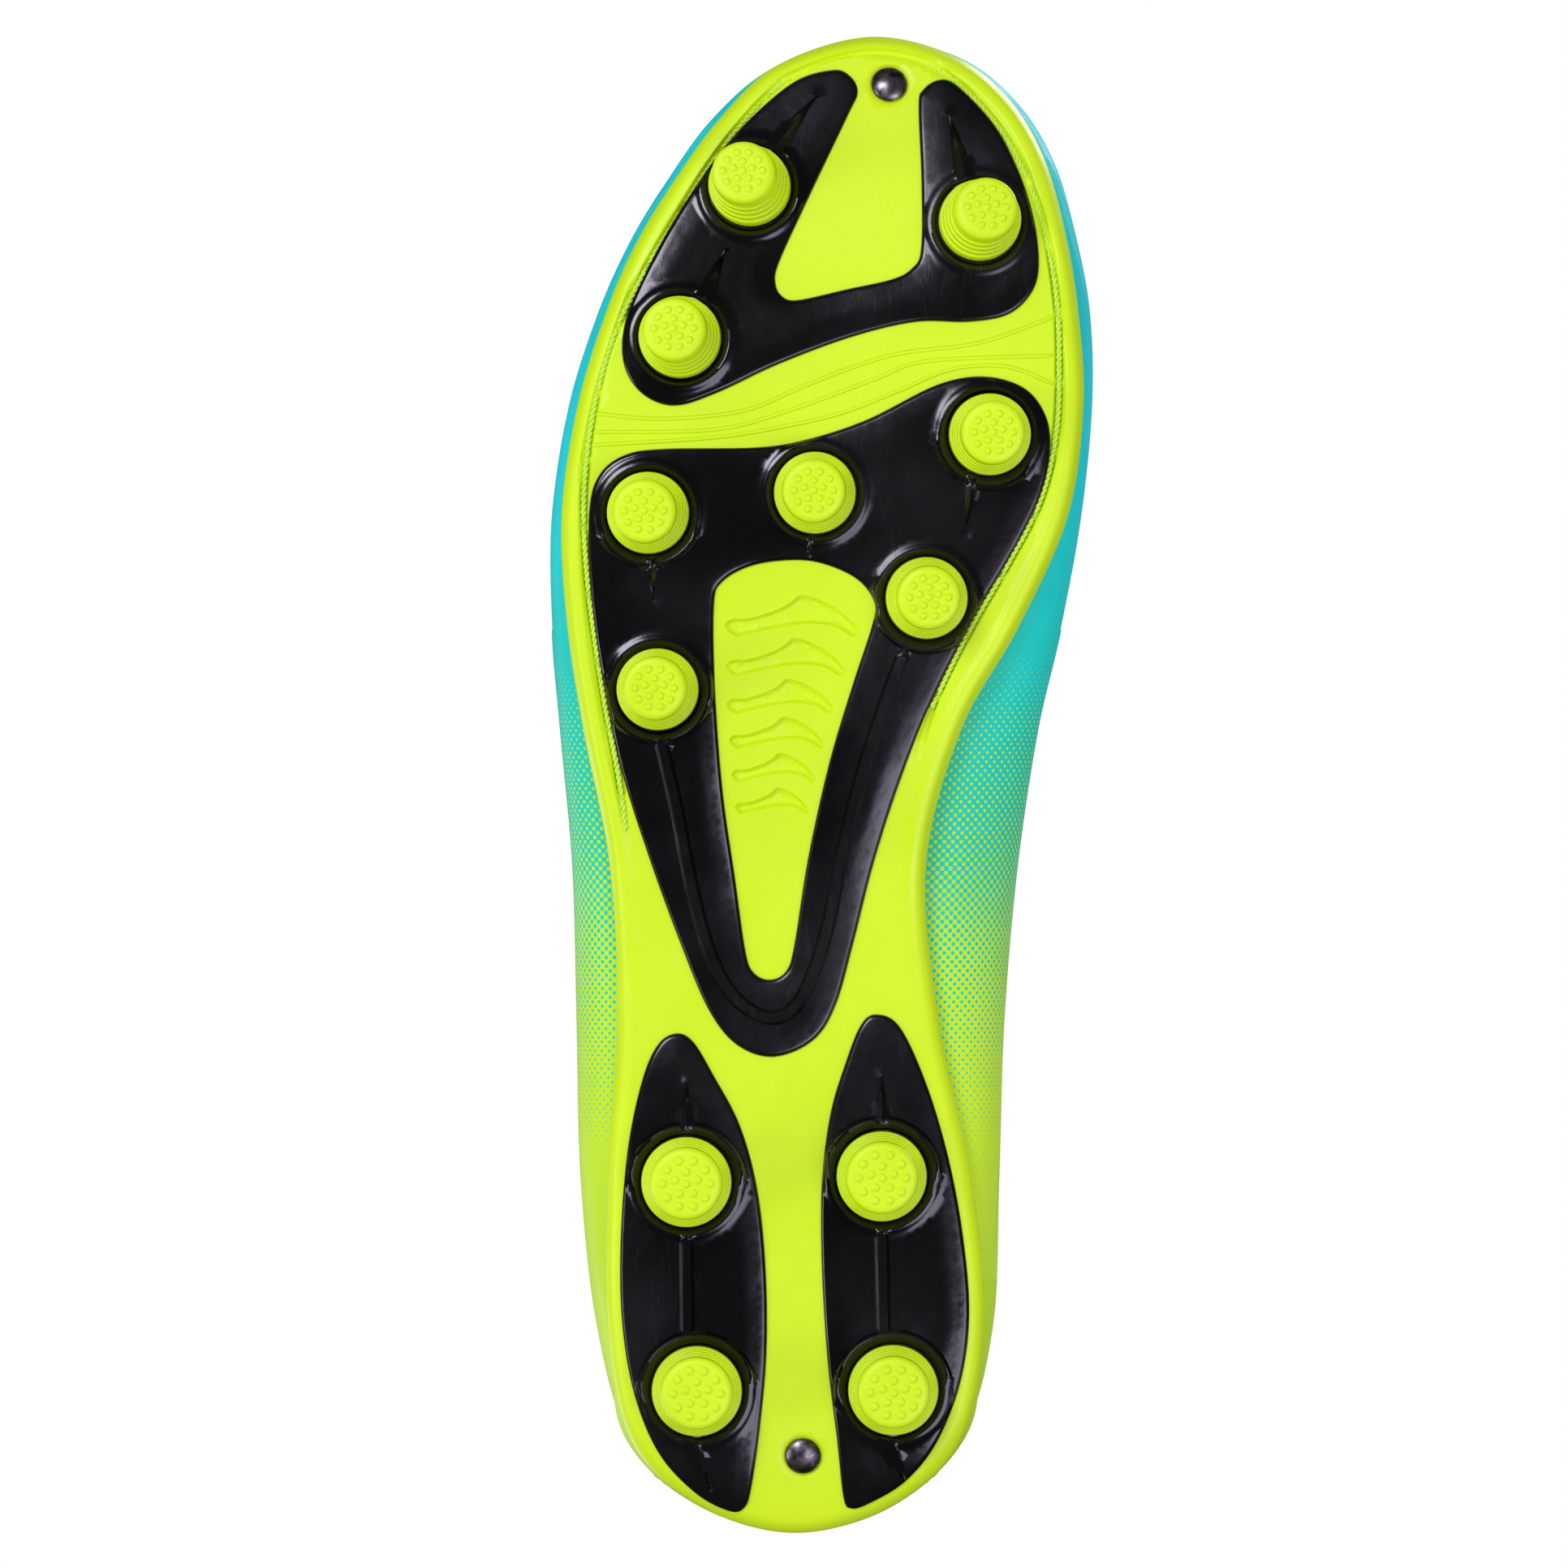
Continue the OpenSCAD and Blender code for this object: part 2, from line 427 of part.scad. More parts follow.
stay_u = [0, 0.35, 0.7, 1];
function stay_grid(lateral, d) = [for (i = [0:14]) let(t = 7.85 + 3.3 * i / 14,
  s = lateral ? t : 32 - t) [for (v = stay_u) layer(s, top_a(s) - 0.2 + 0.195 * v, d)]];
module eyestay(lateral) difference() {
  if (lateral) sheet(stay_grid(true, 1.1), stay_grid(true, 0.3));
  else sheet(stay_grid(false, 0.3), stay_grid(false, 1.1));
  eyelets(lateral);
}
module eyestay_lateral() color(black) shoe() eyestay(true);
module eyestay_medial() color(black) shoe() eyestay(false);
puff_a = [0.1, 1, 1.4, 1.7, 2, 2.13, 2.27, 2.41];
function puff_grid(d) = [for (i = [-14:14]) [for (a = puff_a) layer(i / 4, a, d)]];
module toe_puff() color([0.8, 0.78, 0.7]) shoe()
  sheet(puff_grid(puff_0), puff_grid(puff_0 - stiff_t));
counter_u = [0.1, 1, 1.4, 1.7, 2, 2.17, 2.33];
module heel_counter() color([0.8, 0.78, 0.7]) shoe()
  sheet(wall_grid(round_heel(8), counter_u, puff_0),
  wall_grid(round_heel(8), counter_u, puff_0 - stiff_t));
module vamp_lining() color(grey) shoe()
  cap(cover_grid(20, lining_0), cover_grid(20, lining_0 - lining_t));
module quarter_lining() color(grey) shoe() difference() {
  sheet(lining_grid(round_heel(20), lining_0), lining_grid(round_heel(20), lining_0 - lining_t));
  eyelets(true);
  eyelets(false);
}
pad_u = [2.5, 2.58, 2.67, 2.83, 2.985];
function pad_grid(full) = [for (s = round_heel(11)) [for (u = pad_u)
  layer(s, wall_a(s, u), full ? lining_0 + 0.2 - pad_depth(s, u) : puff_0)]];
module collar_pad() color([0.25, 0.26, 0.28]) shoe() sheet(pad_grid(false), pad_grid(true));
bind_s = concat([11.25], round_heel(11), [20.75]);
function top_up(s) = unit(skin(s, top_a(s)) - skin(s, top_a(s) - 0.02));
function bind_pt(s, d, h) = layer(s, top_a(s), d) + h * top_up(s);
function bind_in(s) = lining_0 - lining_t - 0.1 - pad_depth(s, 3);
// Clearance over the top edge, larger where the collar line dips into the throat.
function bind_gap(s) = 0.4 + 0.7 * ease((13.4 - half(s)) / 0.4);
function bind_sec(s) = [bind_pt(s, 0.1, bind_gap(s)), bind_pt(s, 0.1, 1.5),
  bind_pt(s, bind_in(s) * 0.25, 2.6), bind_pt(s, bind_in(s) * 0.75, 2.6),
  bind_pt(s, bind_in(s), 1.5), bind_pt(s, bind_in(s), bind_gap(s))];
module collar_binding() color(black) shoe() {
  m = len(bind_s);
  faces = concat([for (u = [0:m - 2], v = [0:5]) for (f = quad(u * 6 + v, u * 6 + (v + 1) % 6,
    (u + 1) * 6 + (v + 1) % 6, (u + 1) * 6 + v)) f],
    [[5, 4, 3, 2, 1, 0]], [[for (v = [0:5]) (m - 1) * 6 + v]]);
  polyhedron(points = flat([for (s = bind_s) bind_sec(s)]), faces = faces, convexity = 8);
}

// Tongue: hinged by its lower end under the throat.
tongue_t0 = 7.72;
tongue_t1 = 11.5;
function gap_w(s) = abs(skin(s, top_a(s))[0] - spine(half(s))[0]);
function tongue_half(t, lateral) = let(w = gap_w(lateral ? t : 32 - t) - 1.4)
  mix(min(w, 22), tongue_w, ease((t - 11.02) / 0.25));
function tongue_drop(t, lateral) = let(s = lateral ? t : 32 - t)
  mix(spine(t)[2] - skin(s, top_a(s))[2], 9, ease((t - 10.7) / 0.5));
function tongue_mid(t) = t <= 11 ? let(p = spine(t)) [p[0], p[1], p[2]]
  : [2, -46 - 24 * (t - 11), 97 + 14 * (t - 11)];
function tongue_pt(t, x, d) = let(lateral = x > 0, c = tongue_mid(t),
  end = 1 - 0.35 * pow(max((t - 11.25) / 0.25, 0), 2), w = tongue_half(t, lateral) * end,
  k = tongue_drop(t, lateral) * end * end, n = unit([2 * k * x / w, 0.3, 1]))
  c + [x * w, 0, -k * x * x] + (d - 0.6) * n;
tongue_x = [-1, -0.8, -0.6, -0.4, -0.2, 0, 0.2, 0.4, 0.6, 0.8, 1];
function tongue_grid(d) = [for (i = [0:18]) [for (x = tongue_x)
  tongue_pt(tongue_t0 + (tongue_t1 - tongue_t0) * i / 18, x, d)]];
module tongue_face() color(black) shoe() sheet(tongue_grid(0), tongue_grid(-1));
module tongue_pad() color(grey) shoe() sheet(tongue_grid(-1.02), tongue_grid(-1 - tongue_t));

plate_rear();
plate_front();
toe_overlay();
ball_overlay();
heel_overlay_lateral();
heel_overlay_medial();
stud_toe_lateral_front();
stud_toe_lateral_rear();
stud_toe_medial();
stud_ball_medial_front();
stud_ball_center();
stud_ball_lateral_front();
stud_ball_medial_rear();
stud_ball_lateral_rear();
stud_heel_lateral_front();
stud_heel_medial_front();
stud_heel_lateral_rear();
stud_heel_medial_rear();
toe_rivet();
heel_rivet();
sole_stitch();
insole_board();
sock_liner();
toe_puff();
heel_counter();
toe_panel();
vamp_panel();
quarter_lateral();
quarter_medial();
heel_panel();
eyestay_lateral();
eyestay_medial();
vamp_lining();
quarter_lining();
collar_pad();
collar_binding();
tongue_face();
tongue_pad();
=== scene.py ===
"""Soccer cleat, right shoe, seen in the photograph from below.

Shapes are drawn in last coordinates, in millimetres: +x to the little-toe side, +y to the toe,
+z up. row() turns them into the row frame, whose toe points along -Y, in metres.
"""
import math

import bmesh
import bpy
import numpy as np
from mathutils import Matrix, Vector
from mathutils.geometry import delaunay_2d_cdt


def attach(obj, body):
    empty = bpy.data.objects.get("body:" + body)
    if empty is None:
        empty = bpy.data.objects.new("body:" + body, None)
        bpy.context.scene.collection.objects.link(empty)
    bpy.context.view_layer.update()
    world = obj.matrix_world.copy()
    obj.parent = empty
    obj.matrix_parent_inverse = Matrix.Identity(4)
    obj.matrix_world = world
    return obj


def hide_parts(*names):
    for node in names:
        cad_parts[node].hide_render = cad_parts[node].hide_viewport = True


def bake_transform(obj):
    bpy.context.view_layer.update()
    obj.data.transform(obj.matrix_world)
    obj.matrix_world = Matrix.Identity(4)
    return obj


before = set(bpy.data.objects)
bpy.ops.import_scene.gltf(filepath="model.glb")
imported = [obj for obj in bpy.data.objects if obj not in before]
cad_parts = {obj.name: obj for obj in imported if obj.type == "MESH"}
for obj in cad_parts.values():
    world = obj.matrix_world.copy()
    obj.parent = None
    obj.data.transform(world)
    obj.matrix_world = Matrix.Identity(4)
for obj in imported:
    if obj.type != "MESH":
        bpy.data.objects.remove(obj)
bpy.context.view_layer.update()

# --- Drawn outlines, one point per station -----------------
# Plate edge and widest line of the upper: toe tip, lateral side, heel, medial side.
EDGE = [[-9, 143.1], [8.4, 137.6], [19.2, 127.5], [28.3, 114.9], [35.5, 102.9], [41.2, 89.6],
    [46.6, 71.5], [49.5, 51], [48.4, 30], [45.3, 10], [40.3, -16], [38.9, -46], [40.8, -76],
    [40.7, -104], [36, -125.8], [23, -138], [5, -143.1], [-13, -138.1], [-26.3, -125.6],
    [-31, -104], [-28.9, -76], [-22.6, -46], [-20, -16], [-26.6, 10], [-37.7, 30], [-47, 51],
    [-50, 72], [-49.1, 89.5], [-46.9, 104], [-42.7, 119.4], [-35.6, 131.4], [-24.8, 139.7]]
BULGE = [[-9, 142.8], [8.6, 137.9], [20.6, 128], [30, 115], [37, 103.2], [43, 89.5], [48.4, 72],
    [51.6, 51], [51.5, 30], [50, 10], [47.7, -16], [46.9, -46], [46.1, -76], [43, -104],
    [36.6, -125.6], [23, -138], [5, -142.9], [-13, -138.2], [-27, -125], [-33, -104], [-34.2, -76],
    [-35.2, -46], [-37.8, -16], [-41.6, 10], [-46, 30], [-49.8, 51], [-51.9, 72], [-51.6, 89.5],
    [-49.1, 104], [-44.7, 119.3], [-37, 131.7], [-25.2, 140.2]]
# Ridge of the upper: x, y, height, fullness of the section, angle of the top edge.
SPINE = [[-6, 112, 53, .85, 72], [-6, 111.4, 53.1, .85, 72], [-6, 110, 53.2, .85, 72],
    [-6, 106.5, 53.5, .85, 72], [-5.8, 99.5, 54.3, .85, 72], [-5.6, 88, 56.3, .85, 72],
    [-5.4, 71.5, 60, .87, 72], [-5.2, 51, 65.5, .9, 72], [-4.8, 30, 72, .95, 72],
    [-4, 10, 78.5, 1.05, 68], [-2, -16, 86.5, 1.2, 61], [2, -46, 97, 1.4, 56],
    [5, -76, 125, 3, 21.5], [5, -99, 145, 3, 21], [5, -106, 147, 2.6, 24.5],
    [5, -108.5, 148, 2.3, 26.8], [5, -109.5, 148, 2.2, 27]]
TOE = [[-2, 136.5], [-5.5, 135.4], [-7, 132.2], [-5, 127.5], [2.5, 111.6], [8, 99.5], [8.7, 95.5],
    [7.5, 93], [4.5, 92.2], [-5, 94.3], [-13.5, 96.2], [-17.3, 98.3], [-19, 102], [-19.1, 115.2],
    [-18.6, 129.6], [-19.5, 132.7], [-22.5, 134.6], [-26, 133.5], [-33, 126], [-37.6, 117.2],
    [-40.5, 108.1], [-41.5, 99], [-40, 93.5], [-35.5, 89.4], [-28, 88], [-18, 88], [-6, 85.2],
    [8, 80], [20, 74.4], [28, 72], [34, 74.2], [37.5, 79.5], [37.6, 87], [34, 96.5], [26.5, 110.1],
    [17, 123.4], [6, 133.7]]
BALL = [[-31, 77.6], [-38.5, 75.5], [-42.6, 70.5], [-43.6, 64], [-42, 55.5], [-37, 45],
    [-28.5, 30.5], [-20.5, 14.5], [-14.8, 0], [-10, -15], [-6.2, -30], [-2.8, -42], [1.5, -48.8],
    [9, -52], [16, -49.8], [21.5, -43], [27, -30], [33, -13.5], [38.3, 3.5], [42, 22], [44, 38],
    [44.2, 52], [42.3, 58.8], [37.5, 62.6], [30, 63.8], [12, 64.1], [2, 65.8], [-9, 69.5],
    [-22, 76]]
WINDOW = [[5, 42.6], [13, 41.6], [18.8, 38.5], [20.4, 34], [20.2, 18], [18.8, -1], [16.4, -18],
    [14.4, -32], [12.8, -36], [9.8, -37.3], [6.8, -35.8], [5.2, -31], [2.5, -14], [-1.5, 4],
    [-6, 19], [-9.6, 30], [-10.1, 34.5], [-7, 38.8], [-1, 41.7]]
HEEL_LATERAL = [[27.5, -47.5], [24.3, -49.2], [20.5, -55.5], [15.5, -65], [12.2, -77], [10.6, -92],
    [10.4, -108], [11.6, -122], [13.3, -134], [14.6, -138], [17.5, -138.7], [24, -135.2],
    [31, -127.5], [35.7, -116], [38, -102], [38.2, -86], [36.8, -69], [34, -56], [31, -49.5]]
HEEL_MEDIAL = [[-10.5, -43.9], [-7.5, -46], [-4.5, -53.5], [-1.7, -63], [-0.1, -76], [-0.1, -92],
    [-1.2, -110], [-3, -125], [-4.2, -136], [-5.6, -138.2], [-9, -137.3], [-16, -133],
    [-22, -125.5], [-26.5, -114], [-28.2, -101], [-27, -86], [-24.2, -71], [-20, -57], [-15, -46.3]]
STITCH = [[37.2, -9], [38.7, 2], [41, 14], [43.2, 28], [44.8, 42], [45.2, 55], [43.6, 70], [40, 84],
    [34.5, 96], [27, 109.1], [18.5, 121.9], [9, 132.7], [0, 138.4], [-10, 140], [-20, 137.9],
    [-29, 131.1], [-37, 120.3], [-42.2, 107.1], [-44.8, 93], [-45.3, 79], [-44.6, 66],
    [-41.5, 53.5], [-35, 41], [-27.5, 28], [-21, 14.5], [-17.4, 2]]
V_RIB = [[30.5, 8], [27.5, -5], [25, -18], [22, -30], [18.5, -38], [14.5, -42.5], [9.5, -44.6],
    [5, -42.5], [1.5, -36], [-1.5, -26], [-4, -13], [-7.5, 1], [-11.5, 13.5], [-15.5, 24.5]]
FLEX_LINES = [
    [[43, 70.5], [30, 69.5], [15, 71], [5, 75], [-5, 79], [-15, 82], [-30, 84], [-43, 88.5]],
    [[43.3, 67], [20, 67.5], [5, 71.5], [-10, 77], [-20, 80.5], [-43, 81.5]],
    [[43.5, 64.5], [20, 66], [5, 68.5], [-5, 71], [-15, 75], [-25, 79], [-35, 79.5],
     [-43.5, 76.5]]]
# Ribs pressed into the window: left end and width, and the outline of the first one.
RIBS = [([18.4, 30], 25.4), ([18.2, 22.3], 22.7), ([18.1, 15], 20.4), ([17.6, 8.2], 18.2),
        ([17.2, 1.7], 16.1), ([16.5, -4.5], 14.2)]
RIB = [[0, 0], [.05, 1.4], [.165, 1.5], [.29, 2.3], [.41, 3.4], [.49, 4.5], [.56, 5.9], [.65, 5.6],
    [.75, 4.6], [.85, 3.2], [.93, 1.5], [1, -.5], [1, -1.4], [.96, -2], [.85, -.3], [.75, .3],
    [.65, .5], [.53, .3], [.41, -.2], [.29, -.8], [.165, -1.5], [.08, -1.9]]
STUDS = {"toe_lateral_front": (13.5, 113.8, 7.8), "toe_lateral_rear": (26.8, 84.9, 7.8),
         "toe_medial": (-30.1, 107.2, 7.8), "ball_medial_front": (-32, 66.5, 7.8),
         "ball_center": (1.2, 55.4, 7.8), "ball_lateral_front": (32.9, 51.6, 7.8),
         "ball_medial_rear": (-20, 35.4, 7.8), "ball_lateral_rear": (31.1, 18, 7.8),
         "heel_lateral_front": (25.7, -75.8, 8.6), "heel_medial_front": (-11.5, -74.7, 8.6),
         "heel_lateral_rear": (23.7, -115.6, 8.6), "heel_medial_rear": (-13.7, -115.4, 8.6)}
RIVETS = {"toe_rivet": (-13, 133.7), "heel_rivet": (3.5, -128)}
PLATE_T, CUP_H = 2.8, 5.6
TOE_STUD, BALL_STUD, HEEL_STUD = 10.5, 11, 13
# Where the sole starts to rise to the toe, how fast it does, and how the toe studs lean with it.
TOE_START, TOE_CURVE, TOE_LEAN = 60, .00193, .22
# Stations of EDGE and BULGE: the toe tip is 0, and HEEL is the middle of the heel.
HEEL, STATIONS = 16, 32


# --- Curves ------------
def ease(x):
    t = np.clip(x, 0, 1)
    return t * t * (3 - 2 * t)


def curve(table, s, row_of):
    """Catmull-Rom curve through a table's rows at stations s; row_of(k, n) is knot k's row."""
    table, s = np.asarray(table, float), np.asarray(s, float)
    i = np.floor(s).astype(int)
    a, b, c, d = (table[row_of(i + k, len(table))] for k in (-1, 0, 1, 2))
    t = (s - i)[..., None]
    return .5 * (2 * b + (c - a) * t + (2 * a - 5 * b + 4 * c - d) * t ** 2
                 + (3 * b - 3 * c + d - a) * t ** 3)


def at(table, s):
    """Point of a closed curve at station s."""
    return curve(table, s, lambda k, n: k % n)


def spine(t):
    """Row of SPINE at station t; the curve goes on as its mirror image past both ends."""
    return curve(SPINE, t, lambda k, n: HEEL - np.abs(HEEL - np.abs(k)))


def loop(points, n):
    return at(points, np.arange(len(points) * n) / n)


def run(points, n):
    """Open curve through the points, n steps from each to the next."""
    s = np.arange((len(points) - 1) * n + 1) / n
    return curve(points, s, lambda k, rows: np.clip(k, 0, rows - 1))


def along(path):
    """Length of a path up to each of its points."""
    return np.r_[0, np.cumsum(np.linalg.norm(np.diff(path, axis=0), axis=1))]


def even(line, step, closed=False):
    """The same line with points an even distance apart."""
    q = np.vstack([line, line[:1]]) if closed else np.asarray(line, float)
    length = along(q)
    n = max(int(round(length[-1] / step)), 2)
    where = np.linspace(0, length[-1], n + 1)[:n if closed else n + 1]
    return np.stack([np.interp(where, length, q[:, k]) for k in range(q.shape[1])], 1)


def normals(line, closed=False):
    """Unit vectors to the left of a plan line, seen along it."""
    if closed:
        d = np.roll(line, -1, 0) - np.roll(line, 1, 0)
    else:
        d = np.gradient(line, axis=0)
    d = d / np.linalg.norm(d, axis=1)[:, None]
    return np.stack([-d[:, 1], d[:, 0]], 1)


def area(line):
    x, y = line.T
    return .5 * np.sum(x * np.roll(y, -1) - y * np.roll(x, -1))


def inset(line, d):
    """Closed plan line moved inward by d."""
    return line + d * math.copysign(1, area(line)) * normals(line, True)


def bands(points, a, b, reach=0.0, size=1200):
    """Points in groups of like y, each with the line's pieces that come within reach of it."""
    order = np.argsort(points[:, 1], kind="stable")
    low, high = np.minimum(a[:, 1], b[:, 1]) - reach, np.maximum(a[:, 1], b[:, 1]) + reach
    for i in range(0, len(order), size):
        group = order[i:i + size]
        y = points[group, 1]
        yield group, np.where((low <= y.max()) & (high >= y.min()))[0]


def distance(points, line, closed=False, reach=8.0):
    """Distance in plan from each point to a line, up to reach."""
    points = np.asarray(points, float)
    a, b = (line, np.roll(line, -1, 0)) if closed else (line[:-1], line[1:])
    d = b - a
    size = np.maximum((d * d).sum(1), 1e-12)
    found = np.full(len(points), float(reach))
    for group, k in bands(points, a, b, reach):
        if len(k):
            v = points[group, None] - a[k]
            t = np.clip((v * d[k]).sum(2) / size[k], 0, 1)
            e = v - t[..., None] * d[k]
            found[group] = np.minimum(np.sqrt((e * e).sum(2).min(1)), reach)
    return found


def within(points, line):
    """Which points lie inside a closed plan line."""
    points = np.asarray(points, float)
    a, b = line, np.roll(line, -1, 0)
    found = np.zeros(len(points), bool)
    for group, k in bands(points, a, b):
        if len(k):
            x, y = points[group, :1], points[group, 1:]
            crossed = (a[k, 1] > y) != (b[k, 1] > y)
            rise = np.where(b[k, 1] == a[k, 1], 1e-9, b[k, 1] - a[k, 1])
            side = x < (b[k, 0] - a[k, 0]) * (y - a[k, 1]) / rise + a[k, 0]
            found[group] = (crossed & side).sum(1) % 2 == 1
    return found


def circle(centre, r, n):
    w = np.arange(n) * 2 * math.pi / n
    return np.stack([centre[0] + r * np.cos(w), centre[1] + r * np.sin(w)], 1)


def sole_z(y):
    """Height of the sole's underside."""
    y = np.asarray(y, float)
    arch = np.cos(math.pi / 2 * np.clip((y + 30) / 45, -1, 1)) ** 2
    return (BALL_STUD + TOE_CURVE * np.maximum(y - TOE_START, 0) ** 2
            + (HEEL_STUD - BALL_STUD) * ease((30 - y) / 60) + 1.5 * arch
            + .0083 * np.maximum(-120 - y, 0) ** 2)


def sole_slope(y):
    return math.atan(float(sole_z(y + 1) - sole_z(y - 1)) / 2)


# --- Surface of the upper ------------
def half(s):
    """Station of the point across the shoe, for medial ones; lateral ones stay."""
    s = np.asarray(s, float) % STATIONS
    return np.minimum(s, STATIONS - s)


def rim(s, d):
    """Plate edge moved inward by d."""
    v = at(EDGE, s + .05) - at(EDGE, s - .05)
    v = v / np.linalg.norm(v, axis=-1, keepdims=True)
    return at(EDGE, s) + d * np.stack([v[..., 1], -v[..., 0]], -1)


def skin(s, a):
    """s runs round the shoe; a runs up it: 0 to 1 in the plate's wall, 2 at the widest line."""
    s, a = np.broadcast_arrays(np.asarray(s, float), np.asarray(a, float))
    f, b, c = rim(s, 1.9), at(BULGE, s), spine(half(s))
    low, lip = sole_z(f[..., 1]) + PLATE_T + .05, sole_z(f[..., 1]) + CUP_H + .6
    medial = 4 * np.cos(math.pi / 2 * np.clip((b[..., 1] + 16) / 60, -1, 1)) ** 2
    wide = sole_z(b[..., 1]) + 17.5 - b[..., 1] / 30 + np.where(s % STATIONS > HEEL, medial, 0)
    w1 = math.pi / 2 * np.clip(a - 1, 0, 1)
    w2 = math.pi / 2 * np.clip(a - 2, 0, 1)
    g = np.maximum(np.cos(w2), 0) ** c[..., 3]
    lower = f + (b - f) * np.sin(w1)[..., None]
    upper = c[..., :2] + (b - c[..., :2]) * g[..., None]
    z = np.where(a <= 1, low + (lip - low) * a,
                 np.where(a <= 2, lip + (wide - lip) * (1 - np.cos(w1)),
                          wide + (c[..., 2] - wide) * np.sin(w2)))
    xy = np.where((a <= 1)[..., None], f, np.where((a <= 2)[..., None], lower, upper))
    return np.concatenate([xy, z[..., None]], -1)


def unit(v):
    return v / np.maximum(np.linalg.norm(v, axis=-1, keepdims=True), 1e-12)


def out(s, a):
    """Outward direction of the upper's surface."""
    s, a = np.broadcast_arrays(np.asarray(s, float), np.asarray(a, float))
    n = unit(np.cross(skin(s, a + .02) - skin(s, a - .02), skin(s + .03, a) - skin(s - .03, a)))
    t = half(s)
    p, q = spine(t), spine(np.maximum(t - .3, 0))
    d = np.abs(p[..., 1] - q[..., 1])
    flat = np.where(d < .2, 0, (p[..., 2] - q[..., 2]) / np.maximum(d, .2))
    ridge = unit(np.stack([0 * d, flat, 1 + 0 * d], -1))
    return np.where((a > 2.98)[..., None], ridge, n)


def layer(s, a, d):
    """Point at height d over the upper's surface."""
    return skin(s, a) + np.asarray(d, float)[..., None] * out(s, a)


def top_a(s):
    """Where the top edge lies up the side."""
    return 2 + spine(half(s))[..., 4] / 90


# --- Meshes ------------
def row(points):
    p = np.asarray(points, float).reshape(-1, 3)
    return p * (-.001, -.001, .001)


def made(name, solid, slot, sharp, look=None, uv=None):
    """A piece from (points in last coordinates, faces); uv holds its places in the "print" map."""
    points, faces = solid
    mesh = bpy.data.meshes.new(name)
    mesh.from_pydata(row(points).tolist(), [], [tuple(map(int, f)) for f in faces])
    if uv is not None:
        corner = np.zeros(len(mesh.loops), int)
        mesh.loops.foreach_get("vertex_index", corner)
        layer_of = mesh.uv_layers.new(name="print")
        layer_of.data.foreach_set("uv", uv[corner].astype(np.float32).ravel())
    mesh.validate()
    piece = add_object(name, mesh)
    bm = bmesh.new()
    bm.from_mesh(mesh)
    bmesh.ops.remove_doubles(bm, verts=bm.verts, dist=1e-7)
    bmesh.ops.dissolve_degenerate(bm, edges=bm.edges, dist=1e-7)
    bmesh.ops.recalc_face_normals(bm, faces=bm.faces)
    bm.to_mesh(mesh)
    bm.free()
    mesh.shade_smooth()
    mesh.set_sharp_from_angle(angle=math.radians(sharp))
    mesh.materials.append(LOOKS[look or slot])
    return piece


def add_object(name, data):
    thing = bpy.data.objects.new(name, data)
    bpy.context.scene.collection.objects.link(thing)
    return thing


def hexes(line, step, keep):
    """Points of an even pattern inside a closed line, at least keep from it."""
    low, high = line.min(0), line.max(0)
    rows = []
    for k, y in enumerate(np.arange(low[1], high[1], step * .866)):
        x = np.arange(low[0] + (k % 2) * step / 2, high[0], step)
        rows.append(np.stack([x, np.full(len(x), y)], 1))
    p = np.vstack(rows)
    p = p[within(p, line)]
    return p[distance(p, line, True) > keep]


def clear_of(points, lines, gap):
    """Points at least gap away from all the lines."""
    for q, closed in lines:
        near = np.all((points > q.min(0) - gap) & (points < q.max(0) + gap), axis=1)
        keep = np.ones(len(points), bool)
        if near.any():
            keep[near] = distance(points[near], q, closed) > gap
        points = points[keep]
    return points


def rings_of(lines):
    return [(q, True) for q in lines]


def field(loops, step, lines=(), keep=.5):
    """Even points inside the first loop, clear of the other loops and of the lines."""
    grid = hexes(loops[0], step, step * .5)
    for q in loops[1:]:
        grid = grid[~within(grid, q)]
    return clear_of(grid, rings_of(loops[1:]) + list(lines), step * keep)


def triangles(loops, lines, points):
    """Triangles inside the first loop and outside the others, that keep the lines as edges."""
    coords, edges = [], []
    for q, closed in rings_of(loops) + list(lines):
        k = len(coords)
        coords.extend(q.tolist())
        n = len(q)
        edges.extend((k + i, k + (i + 1) % n) for i in range(n if closed else n - 1))
    coords.extend(points.tolist())
    found = delaunay_2d_cdt([Vector(c) for c in coords], edges, [], 0, 1e-4, True)
    verts = np.array([v[:] for v in found[0]])
    faces = np.array([f for f in found[2] if len(f) == 3])
    middle = verts[faces].mean(1)
    keep = within(middle, loops[0])
    for q in loops[1:]:
        keep &= ~within(middle, q)
    new = {o: i for i, old in enumerate(found[3]) for o in old}
    rings, k = [], 0
    for q in loops:
        rings.append([new[k + i] for i in range(len(q))])
        k += len(q)
    return verts, faces[keep], rings


def sides(loops, lines, step, back_step=4.0, keep=.5, bare=None):
    """Front and back points of a sheet of the loops' shape, and all its faces, walls included.
    bare(points) tells the points of the front that have no wall between them."""
    v1, f1, rings1 = triangles(loops, lines, field(loops, step, lines, keep))
    v2, f2, rings2 = triangles(loops, [], field(loops, back_step))
    skip = bare(v1) if bare else np.zeros(len(v1), bool)
    n = len(v1)
    faces = [tuple(f) for f in f1] + [tuple(n + f[::-1]) for f in f2]
    for a, b in zip(rings1, rings2):
        for i in range(len(a)):
            j = (i + 1) % len(a)
            if not (skip[a[i]] and skip[a[j]]):
                faces.append((a[j], a[i], n + b[i], n + b[j]))
    return v1, v2, faces


def relief(loops, lines, step, top, back, back_step=4.0):
    """Closed solid over a plan shape: top(xy) and back(xy) give the heights of its two faces."""
    v1, v2, faces = sides(loops, lines, step, back_step)
    return np.vstack([np.column_stack([v1, top(v1)]), np.column_stack([v2, back(v2)])]), faces


